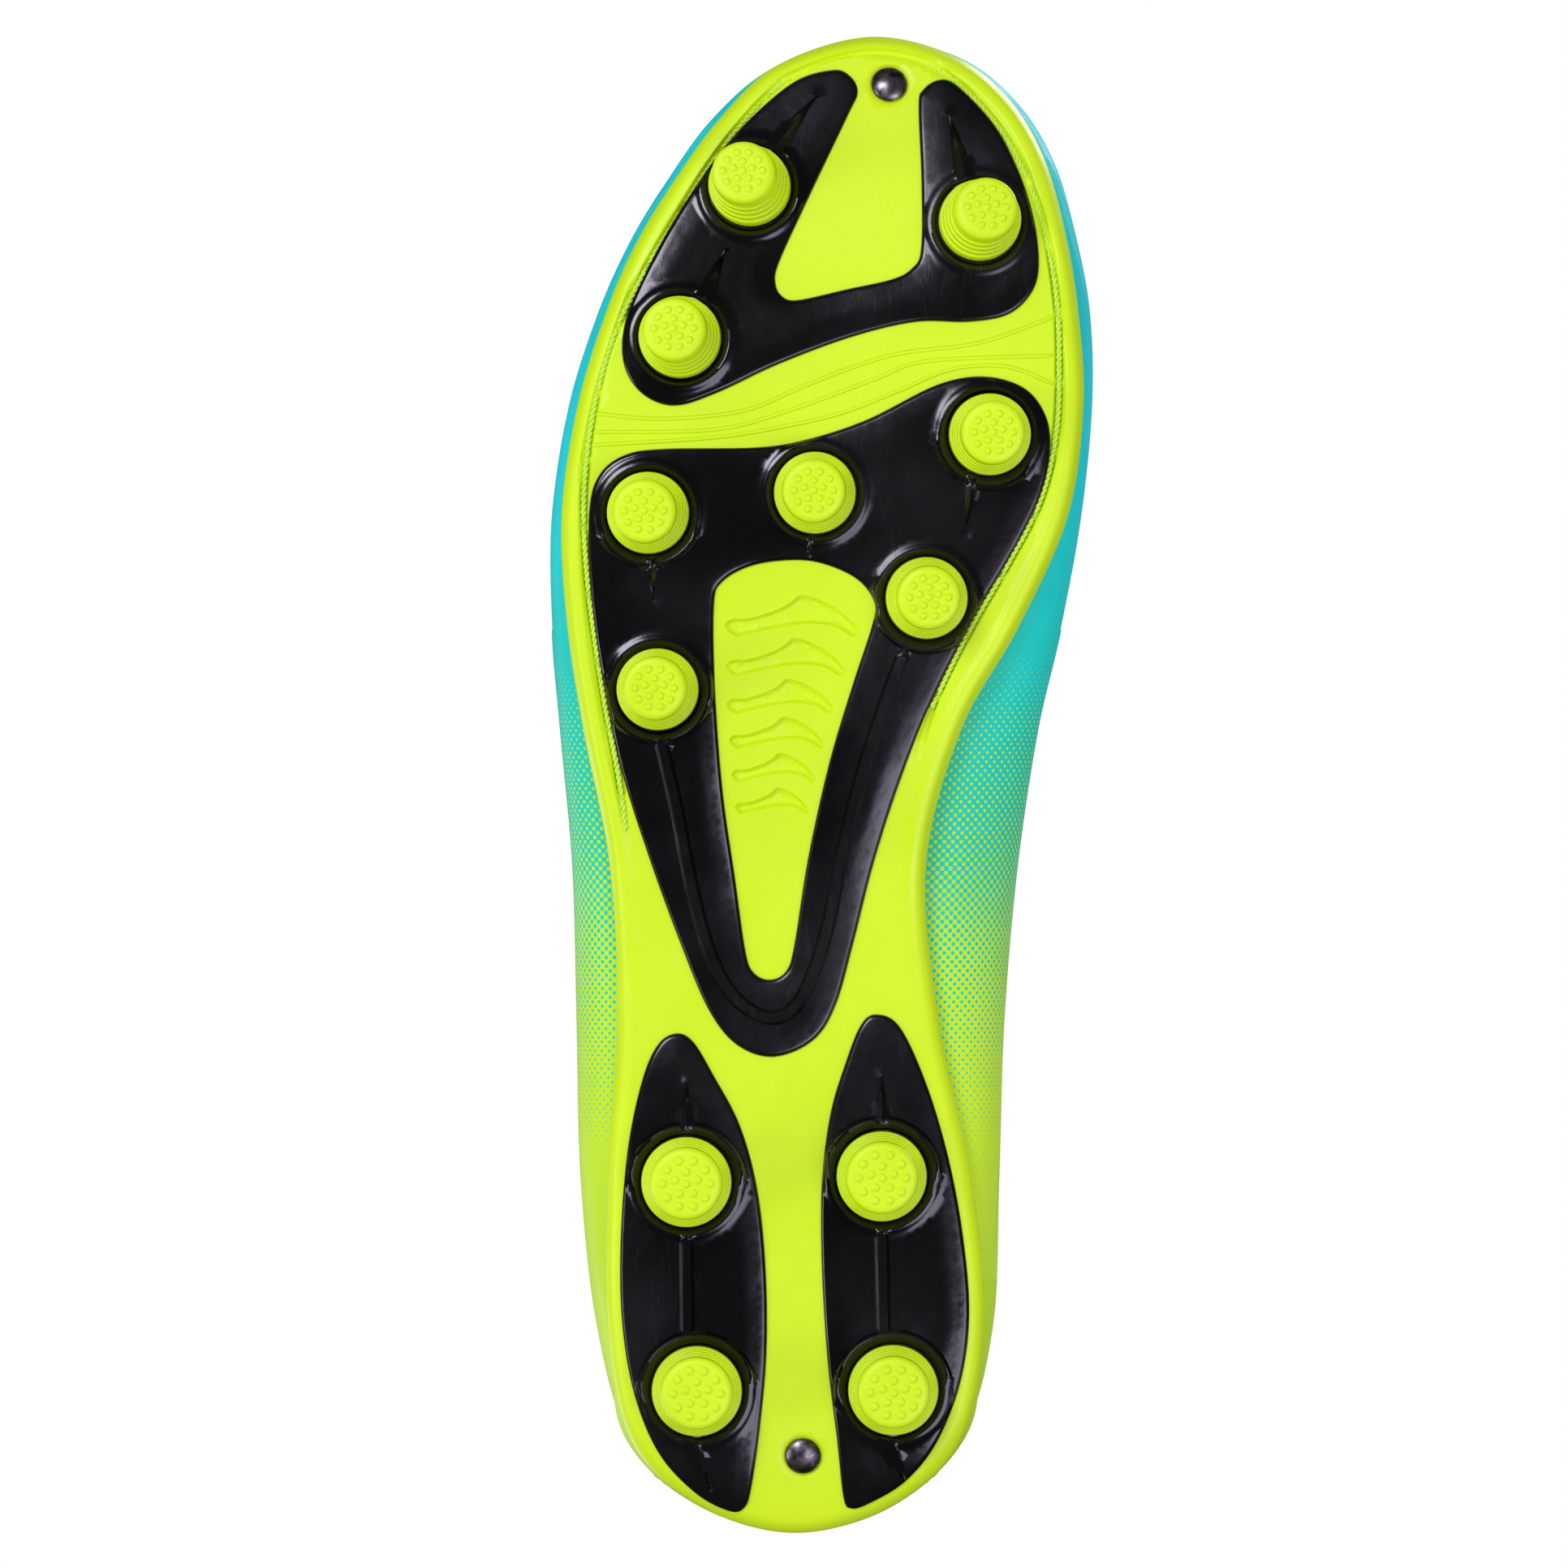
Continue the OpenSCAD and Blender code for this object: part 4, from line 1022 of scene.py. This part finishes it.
def panel(name, outline, slot, outer, inner, step, holes=(), lines=(), radius=.8,
          folded=False):
    """Closed shell over a flat outline; outer and inner give its heights over the surface.
    A folded one has both sides of the ridge in its outline, which are sewn together there."""
    if not folded:
        outline = even(outline, 1.2, True)
    loops = [outline] + list(holes)
    cuts = list(lines)
    for q in loops:
        cuts += rings_of([inset(q, (1 if q is outline else -1) * radius * k)
                          for k in (.15, .45, .95)])
    cuts = [(q[within(q, outline)] if not c else q, c) for q, c in cuts]
    cuts = [(q, c) for q, c in cuts if len(q) > 2 and (not c or within(q, outline).all())]
    v1, v2, faces = sides(loops, cuts, step, keep=.45,
                          bare=(lambda p: p[:, 1] >= RIDGE - 1e-3) if folded else None)
    e = distance(v1, *free_edge(outline))
    for q in holes:
        e = np.minimum(e, distance(v1, q, True))
    low, full = inner(v1), outer(v1)
    d = low + (full - low) * (.25 + .75 * round_over(e / radius))
    points = np.vstack([wrap(v1, d), wrap(v2, inner(v2))])
    flat_uv = np.column_stack([points[:, 1], climb(np.vstack([v1, v2]))])
    return made(name, (points, faces), slot, 40, uv=flat_uv)


def eyelet_holes(sign, r):
    """Outlines, in the flat plane, of round holes of radius r at the eyelets of a side."""
    holes = []
    w = np.arange(28) * 2 * math.pi / 28
    for s in sign * np.array(EYELETS):
        a = float(top_a(s)) - .085
        long = np.linalg.norm(skin(s + .05, a) - skin(s - .05, a)) / .1
        high = np.linalg.norm(skin(s, a + .02) - skin(s, a - .02)) / .04
        holes.append(flat(np.stack([s + r / long * np.cos(w), a + r / high * np.sin(w)], 1)))
    return holes


def mirrored_plan(points):
    return np.asarray(points, float)[::-1] * (-1, 1)


def vamp_outline(end, throat):
    """Toe to the throat; end is the rear edge of its sides, throat that of its ridge."""
    side = flat(run([[end, .4], [end, 1.2], [end, 2], [end - .1, 2.35], [end - .35, 2.5],
                     [throat + .48, 2.62], [throat + .26, 2.76], [throat + .08, 2.9],
                     [throat, 3.0]], 8))
    bottom = flat([[0, .4], [end, .4]])
    right = np.vstack([even(bottom, 1.2)[:-1], even(side, 1.2)])
    ridge = flat(np.stack([np.linspace(throat, -throat, 181), np.full(181, 3.0)], 1))
    return np.vstack([right, ridge[1:-1], mirrored_plan(right)[:-1]])


VAMP_CHANNELS = [[[1.2, 1.75], [2.6, 2.1], [4.3, 2.45], [5.6, 2.86]],
                 [[2.1, 1.6], [3.5, 1.95], [5.2, 2.3], [6.3, 2.84]],
                 [[3.0, 1.5], [4.4, 1.82], [6.0, 2.15], [6.95, 2.8]],
                 [[3.9, 1.42], [5.3, 1.7], [6.7, 2.0], [7.5, 2.6]]]


def vamp():
    channels = [flat(run(q, 8)) for q in VAMP_CHANNELS]
    channels += [mirrored_plan(q) for q in channels]
    lines = [line for q in channels for line in beside(even(q, 1.2), (-1, 0, 1))]

    def outer(p):
        away = np.minimum.reduce([distance(p, q) for q in channels])
        return -.42 * ease((1.1 - away) / 1.1)

    def lining(p):
        return 1.25 * ease((np.abs(p[:, 0]) / SX - 6.2) / 1.2)

    piece = panel("vamp_skin", vamp_outline(8.6, 7.45), "upper_cyan", outer, constant(-1.1), 1.7,
                  lines=lines, folded=True)
    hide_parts("toe_panel", "vamp_panel")
    flexes(piece)
    cloth = panel("vamp_lining_cloth", vamp_outline(7.68, 7.4), "lining_fabric",
                  lambda p: -2.45 + lining(p), lambda p: -3.15 + lining(p), 4, folded=True)
    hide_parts("vamp_lining")
    flexes(cloth)


QUARTER_FRONT = [[8.15, .4], [8.12, 1.2], [8.02, 2.0], [7.9, 2.4], [7.74, 2.6], [7.68, 2.7],
                 [7.74, 2.76]]


def below_top(t, drop):
    """Line at stations t, drop below the top edge."""
    return np.stack([t, top_a(t) - drop], 1)


def quarter(side, sign):
    front = flat(run(QUARTER_FRONT, 8))
    top = flat(below_top(np.linspace(8.0, HEEL, 100), .016))
    outline = np.vstack([front, top, flat([[HEEL, .4], [12, .4]])])
    if sign < 0:
        front, outline = mirrored_plan(front), mirrored_plan(outline)

    def back(p):
        return distance(p, front, reach=20)

    def outer(p):
        step = .45 * (1 - ease((back(p) - 2) / 12)) * ease((p[:, 1] / SY - 1.9) / .3)
        return step + .04

    piece = panel(f"quarter_skin_{side}", outline, "upper_halftone", outer,
                  lambda p: .02 - 1.12 * ease((back(p) - 9) / 3), 1.9,
                  holes=eyelet_holes(sign, 2.3))
    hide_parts(f"quarter_{side}")
    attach(piece, "rear_shoe")
    return front


def heel_skin():
    side = run([[2.75, .4], [2.6, 1.2], [2.1, 1.75], [1.45, 2.05], [1.2, 2.18], [1.12, 2.285]], 8)
    outline = flat(np.vstack([side, mirrored_plan(side)]) + (HEEL, 0))
    piece = panel("heel_skin", outline, "upper_lime", constant(.85), constant(.02), 1.7)
    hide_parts("heel_panel")
    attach(piece, "rear_shoe")


def eyestay(side, sign):
    """Strip along the throat, with a scalloped lower edge and raised rims round its eyelets."""
    t = np.linspace(8.0, 11.2, 100)
    turns = np.interp(t, EYELETS, np.arange(6)) * 2 * math.pi
    end = np.sqrt(1 - np.clip((t - 10.98) / .225, 0, 1) ** 2)
    low = below_top(t, end * (.185 + .012 * np.cos(turns)))[::-1]
    toe = run([low[-1], [7.6, 2.63], [7.25, 2.74], [7.05, 2.86], [6.97, 3.0]], 8)[1:]
    throat = run([[7.45, 3.0], [7.5, 2.945], [7.62, 2.875], [7.85, 2.81], [8.1, top_a(8.1) + .002]],
                 8)
    top = below_top(np.linspace(8.12, 11.19, 60), -.002)
    outline = flat(np.vstack([top, low, toe, throat]))
    if sign < 0:
        outline = mirrored_plan(outline)
    holes = eyelet_holes(sign, 2.0)
    rims = rings_of([inset(q, -1.3 * k) for q in holes for k in (.3, 1)])

    def outer(p):
        e = np.minimum.reduce([distance(p, q, True) for q in holes])
        return 1.15 + .4 * ease(e / .3) * ease((1.9 - e) / .6)

    piece = panel(f"eyestay_{side}_cut", outline, "trim_black", outer, constant(.04), 1.1,
                  holes=holes, lines=rims, radius=.7)
    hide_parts(f"eyestay_{side}")
    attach(piece, "rear_shoe")


def quarter_lining():
    top = below_top(np.linspace(7.7, 24.3, 200), -.002)
    foot = np.stack([np.linspace(24.3, 7.7, 120), np.full(120, .25)], 1)
    holes = eyelet_holes(1, 2.2) + [q + (STATIONS * SX, 0) for q in eyelet_holes(-1, 2.2)]

    def outer(p):
        share = (p[:, 1] / SY - 2) / (top_a(p[:, 0] / SX) - 2)
        return -2.45 + 1.27 * ease((share - .4) / .2)

    piece = panel("quarter_lining_cloth", flat(np.vstack([top, foot])), "lining_fabric", outer,
                  lambda p: outer(p) - .8, 3, holes=holes)
    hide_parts("quarter_lining")
    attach(piece, "rear_shoe")


# Section of the collar roll: share of the wall's height (above 1: millimetres over its edge),
# and depth from the skin.
COLLAR = [(.79, .04), (.795, .62), (.82, .82), (.9, .95), (.97, 1.0), (1.6, .95), (2.5, .4),
          (3.3, -.8), (3.7, -2.4), (3.6, -4.0), (3.0, -5.6), (2.0, -6.7), (1, -7.4), (.95, -8.0),
          (.88, -8.5), (.8, -8.6), (.72, -8.1), (.64, -7.0), (.56, -5.4), (.5, -3.9), (.46, -2.9),
          (.43, -2.1), (.43, -1.5), (.47, -1.25), (.6, -1.2), (.8, -1.18), (.95, -1.18),
          (1.12, -1.15), (1.12, .03), (.95, .04), (.87, .04)]
PINNED_DEPTH = -1.3


def collar_row(s, share, deep, swell):
    """One point of the collar's section at all stations; swell goes to 0 at its two ends."""
    over = deep - PINNED_DEPTH
    deep = np.where(over > 0, deep, PINNED_DEPTH + over * swell)
    if share > 1:
        up = unit(skin(s, top_a(s)) - skin(s, top_a(s) - .02))
        return layer(s, top_a(s), deep) + ((share - 1) * (.35 + .65 * swell))[:, None] * up
    share = np.where(deep > PINNED_DEPTH, share, 1 - (1 - share) * (.3 + .7 * swell))
    return layer(s, 2 + share * (top_a(s) - 2), deep)


def collar():
    s = np.linspace(11.12, 20.88, 170)
    t = half(s)
    swell = ease((t - 11.05) / 1.0) * (1 - .07 * ease((t - 13.6) / .3) * ease((14.2 - t) / .3))
    rows = [collar_row(s, share, deep, swell) for share, deep in COLLAR]
    piece = made("collar_roll", grid_solid(np.stack(rows, 1)), "collar_foam", 60)
    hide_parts("collar_pad", "collar_binding")
    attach(piece, "rear_shoe")


def tongue_points(t, x, d):
    """x from -1 to 1 across the tongue at stations t, d over its face."""
    s = t if x > 0 else STATIONS - t
    ridge, edge = spine(half(s)), skin(s, top_a(s))
    side = np.minimum(np.abs(edge[:, 0] - ridge[:, 0]) - 1.4, 22)
    side += (26 - side) * ease((t - 11.02) / .25)
    drop = ridge[:, 2] - edge[:, 2]
    drop += (9 - drop) * ease((t - 10.7) / .5)
    end = 1 - .35 * np.maximum((t - 11.25) / .25, 0) ** 2
    w, k = side * end, drop * end * end
    past = np.stack([2 + 0 * t, -46 - 24 * (t - 11), 97 + 14 * (t - 11)], 1)
    c = np.where((t <= 11)[:, None], ridge[:, :3], past)
    n = unit(np.stack([2 * k * x / w, .3 + 0 * t, 1 + 0 * t], 1))
    return c + np.stack([x * w, 0 * t, -k * x * x], 1) + (d - .6)[:, None] * n


def tongue():
    t = np.linspace(7.3, 11.5, 110)
    full = ease((t - 7.55) / .5) * np.sqrt(
        np.clip(1 - (np.maximum(t - 10.6, 0) / .93) ** 2, .02, 1))
    across = np.linspace(-1, 1, 41)
    shaped = ease((t - 8.1) / .1) * ease((10.9 - t) / .1)
    groove = np.maximum(0, 1 - np.abs((t - 7.9) % .62 - .31) / .06) * shaped

    def edge(x):
        return math.sqrt(max(1 - abs(x) ** 5, 0))

    rows = []
    for x in across:
        inside = float(ease((.78 - abs(x)) / .06))
        border = .5 * max(0, 1 - abs(abs(x) - .84) / .03) * ease((t - 8) / .2)
        rows.append(tongue_points(t, x, -1.0 + edge(x) * (.2 + .75 * full)
                                  - .7 * inside * groove - border))
    for x in across[::-1][1:-1]:
        rows.append(tongue_points(t, x, -1.2 - edge(x) * (.4 + 3.6 * full)))
    piece = made("tongue_padded", grid_solid(np.stack(rows, 1)), "collar_foam", 50)
    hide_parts("tongue_face", "tongue_pad")
    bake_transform(piece)


def insole():
    s = np.arange(STATIONS * 10) / 10
    solid = relief([rim(s, 5.4)], [], 3, lambda p: sole_z(p[:, 1]) + 2.85,
                   lambda p: sole_z(p[:, 1]) + 4.3, 6)
    board = made("insole_board_sheet", solid, "board", 40)
    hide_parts("insole_board")
    flexes(board)

    edge = rim(s, 5.6)

    def top(p):
        e = distance(p, edge, True)
        y = p[:, 1]
        medial = ease((-p[:, 0] + 4 - .12 * y) / 14) * np.exp(-((y + 12) / 34) ** 2)
        cup = 2.4 * ease((7 - e) / 7) * ease((30 - y) / 50)
        return sole_z(y) + 6.6 + .8 * round_over(e / 1.5) + cup + 3 * medial

    lines = rings_of([rim(s, 5.6 + k) for k in (.3, .8, 1.5)])
    solid = relief([edge], lines, 2, top, lambda p: sole_z(p[:, 1]) + 4.4, 6)
    liner = made("sock_liner_pad", solid, "foam_liner", 40)
    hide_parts("sock_liner")
    flexes(liner)


# --- Stitching ------------
def stitches(line, d, pitch, length, r=.2):
    """Short raised threads along a flat line, d above the upper."""
    fine = even(line, .4)
    reached = along(wrap(fine, np.zeros(len(fine))))
    parts = []
    for start in np.arange(1, reached[-1] - length, pitch):
        at_mm = start + length * np.array([0, .15, .5, .85, 1])
        p = np.stack([np.interp(at_mm, reached, fine[:, k]) for k in (0, 1)], 1)
        parts.append(tube(wrap(p, d + r * np.array([-1.2, .1, .35, .1, -1.2])), r, 6))
    return parts


def seam(name, parts, slot, look=None):
    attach(made(name, joined(parts), slot, 70, look), "rear_shoe")


def seams(fronts):
    """Stitches of the quarters' front edges, the eyestays, the heel panel and the collar."""
    rows = {"quarter_front": [], "eyestay": [], "heel": []}
    for front, sign in zip(fronts, (1, -1)):
        front = front[front[:, 1] > 2.1 * SY]
        for back, d in ((2.2, .53), (4.4, .5)):
            rows["quarter_front"] += stitches(front + sign * np.array([back, 0]), d, 2.7, 2)
        for low in (.168, .022):
            line = flat(below_top(np.linspace(8.15, 10.9, 60), low) * (sign, 1))
            rows["eyestay"] += stitches(line, 1.17, 2.6, 1.9)
        edge = run([[1.62, 1.92], [1.32, 2.05], [1.07, 2.18], [1.0, 2.23]], 8)
        rows["heel"] += stitches(flat(edge * (sign, 1) + (HEEL, 0)), .85, 2.8, 2.0)
    seam("stitches_quarter_front", rows["quarter_front"], "thread_lime", look="thread_cyan")
    seam("stitches_eyestay", rows["eyestay"], "trim_black")
    seam("stitches_heel", rows["heel"], "thread_lime")
    t = np.linspace(11.6, 20.4, 160)
    line = flat(np.stack([t, 2 + .835 * (top_a(t) - 2)], 1))
    seam("stitches_collar", stitches(line, .88, 2.8, 2.0, .22), "trim_black")


def upper():
    vamp()
    fronts = [quarter("lateral", 1), quarter("medial", -1)]
    heel_skin()
    eyestay("lateral", 1)
    eyestay("medial", -1)
    quarter_lining()
    collar()
    tongue()
    insole()
    seams(fronts)
    for name in ("toe_puff", "heel_counter"):
        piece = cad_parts[name]
        piece.data.materials.clear()
        piece.data.materials.append(LOOKS["stiffener"])


# --- Studio ------------
PHOTO_PIXELS = 1932
CAMERA_DISTANCE, AIM_HEIGHT = 2.6, .0125


def area_light(name, spot, aim_height, size, power, colour=(1, 1, 1)):
    light = bpy.data.lights.new(name, "AREA")
    light.shape, light.size, light.energy, light.color = "DISK", size, power, colour
    lamp = add_object(name, light)
    lamp.location = spot
    aim = Vector((0, 0, aim_height)) - Vector(spot)
    lamp.rotation_euler = aim.to_track_quat("-Z", "Y").to_euler()


def floor():
    """Pale floor, seen from above only, so that the shoe can be seen from below."""
    mesh = bpy.data.meshes.new("floor")
    corners = [(-9, -9, 0), (9, -9, 0), (9, 9, 0), (-9, 9, 0)]
    mesh.from_pydata(corners, [], [(0, 1, 2, 3)])
    piece = add_object("floor", mesh)
    m = Look("floor", Roughness=.7, Emission_Color=(1, 1, 1, 1), Emission_Strength=.4)
    m.put(Base_Color=m.mixed(m.noise(4, 2), (.47, .47, .47, 1), (.51, .51, .51, 1)))
    clear = m.node("BsdfTransparent").outputs[0]
    side = m.node("NewGeometry").outputs["Backfacing"]
    both = m.node("MixShader", side, m.shader.outputs[0], clear)
    output = next(n for n in m.tree.nodes if n.type == "OUTPUT_MATERIAL")
    m.feed(output.inputs[0], both.outputs[0])
    mesh.materials.append(m.material)
    piece.visible_shadow = piece.visible_diffuse = piece.visible_glossy = False


def sky():
    """White behind everything, dimmer as a light and nearly dark in reflections."""
    world = bpy.data.worlds.new("studio")
    bpy.context.scene.world = world
    world.use_nodes = True
    m = Nodes(world.node_tree)
    background = m.tree.nodes["Background"]
    background.inputs[0].default_value = (1, 1, 1, 1)
    rays = m.node("LightPath").outputs
    soft = m.between(rays["Is Glossy Ray"], 0, 1, .5, .05)
    m.feed(background.inputs[1], m.between(rays["Is Camera Ray"], 0, 1, soft, 1))


def studio():
    sky()
    area_light("key_below", (-.45, -.55, -1.0), 0, .45, 6)
    area_light("fill_below", (.45, .35, -1.0), 0, .6, 3.6, (.93, .9, 1))
    area_light("side_below_left", (.9, .4, -.5), .01, .4, .5, (.93, .9, 1))
    area_light("side_below_right", (-.9, .2, -.5), .01, .4, 2)
    area_light("key_above", (.8, -.9, 1.3), .05, .7, 12)
    area_light("fill_above", (-1, .6, 1.0), .05, 1.0, 5.5)
    camera = bpy.data.cameras.new("camera")
    camera.lens, camera.sensor_width, camera.dof.use_dof = 313.4, 36, False
    eye = add_object("camera", camera)
    eye.location, eye.rotation_euler = (-.0071, 0, AIM_HEIGHT - CAMERA_DISTANCE), (math.pi, 0, 0)
    scene = bpy.context.scene
    scene.camera = eye
    scene.render.resolution_x = scene.render.resolution_y = PHOTO_PIXELS
    scene.view_settings.view_transform = "Standard"


outsole()
front_overlays()
heel_overlay("lateral", HEEL_LATERAL)
heel_overlay("medial", HEEL_MEDIAL)
studs()
rivets()
sole_thread()
upper()
floor()
studio()
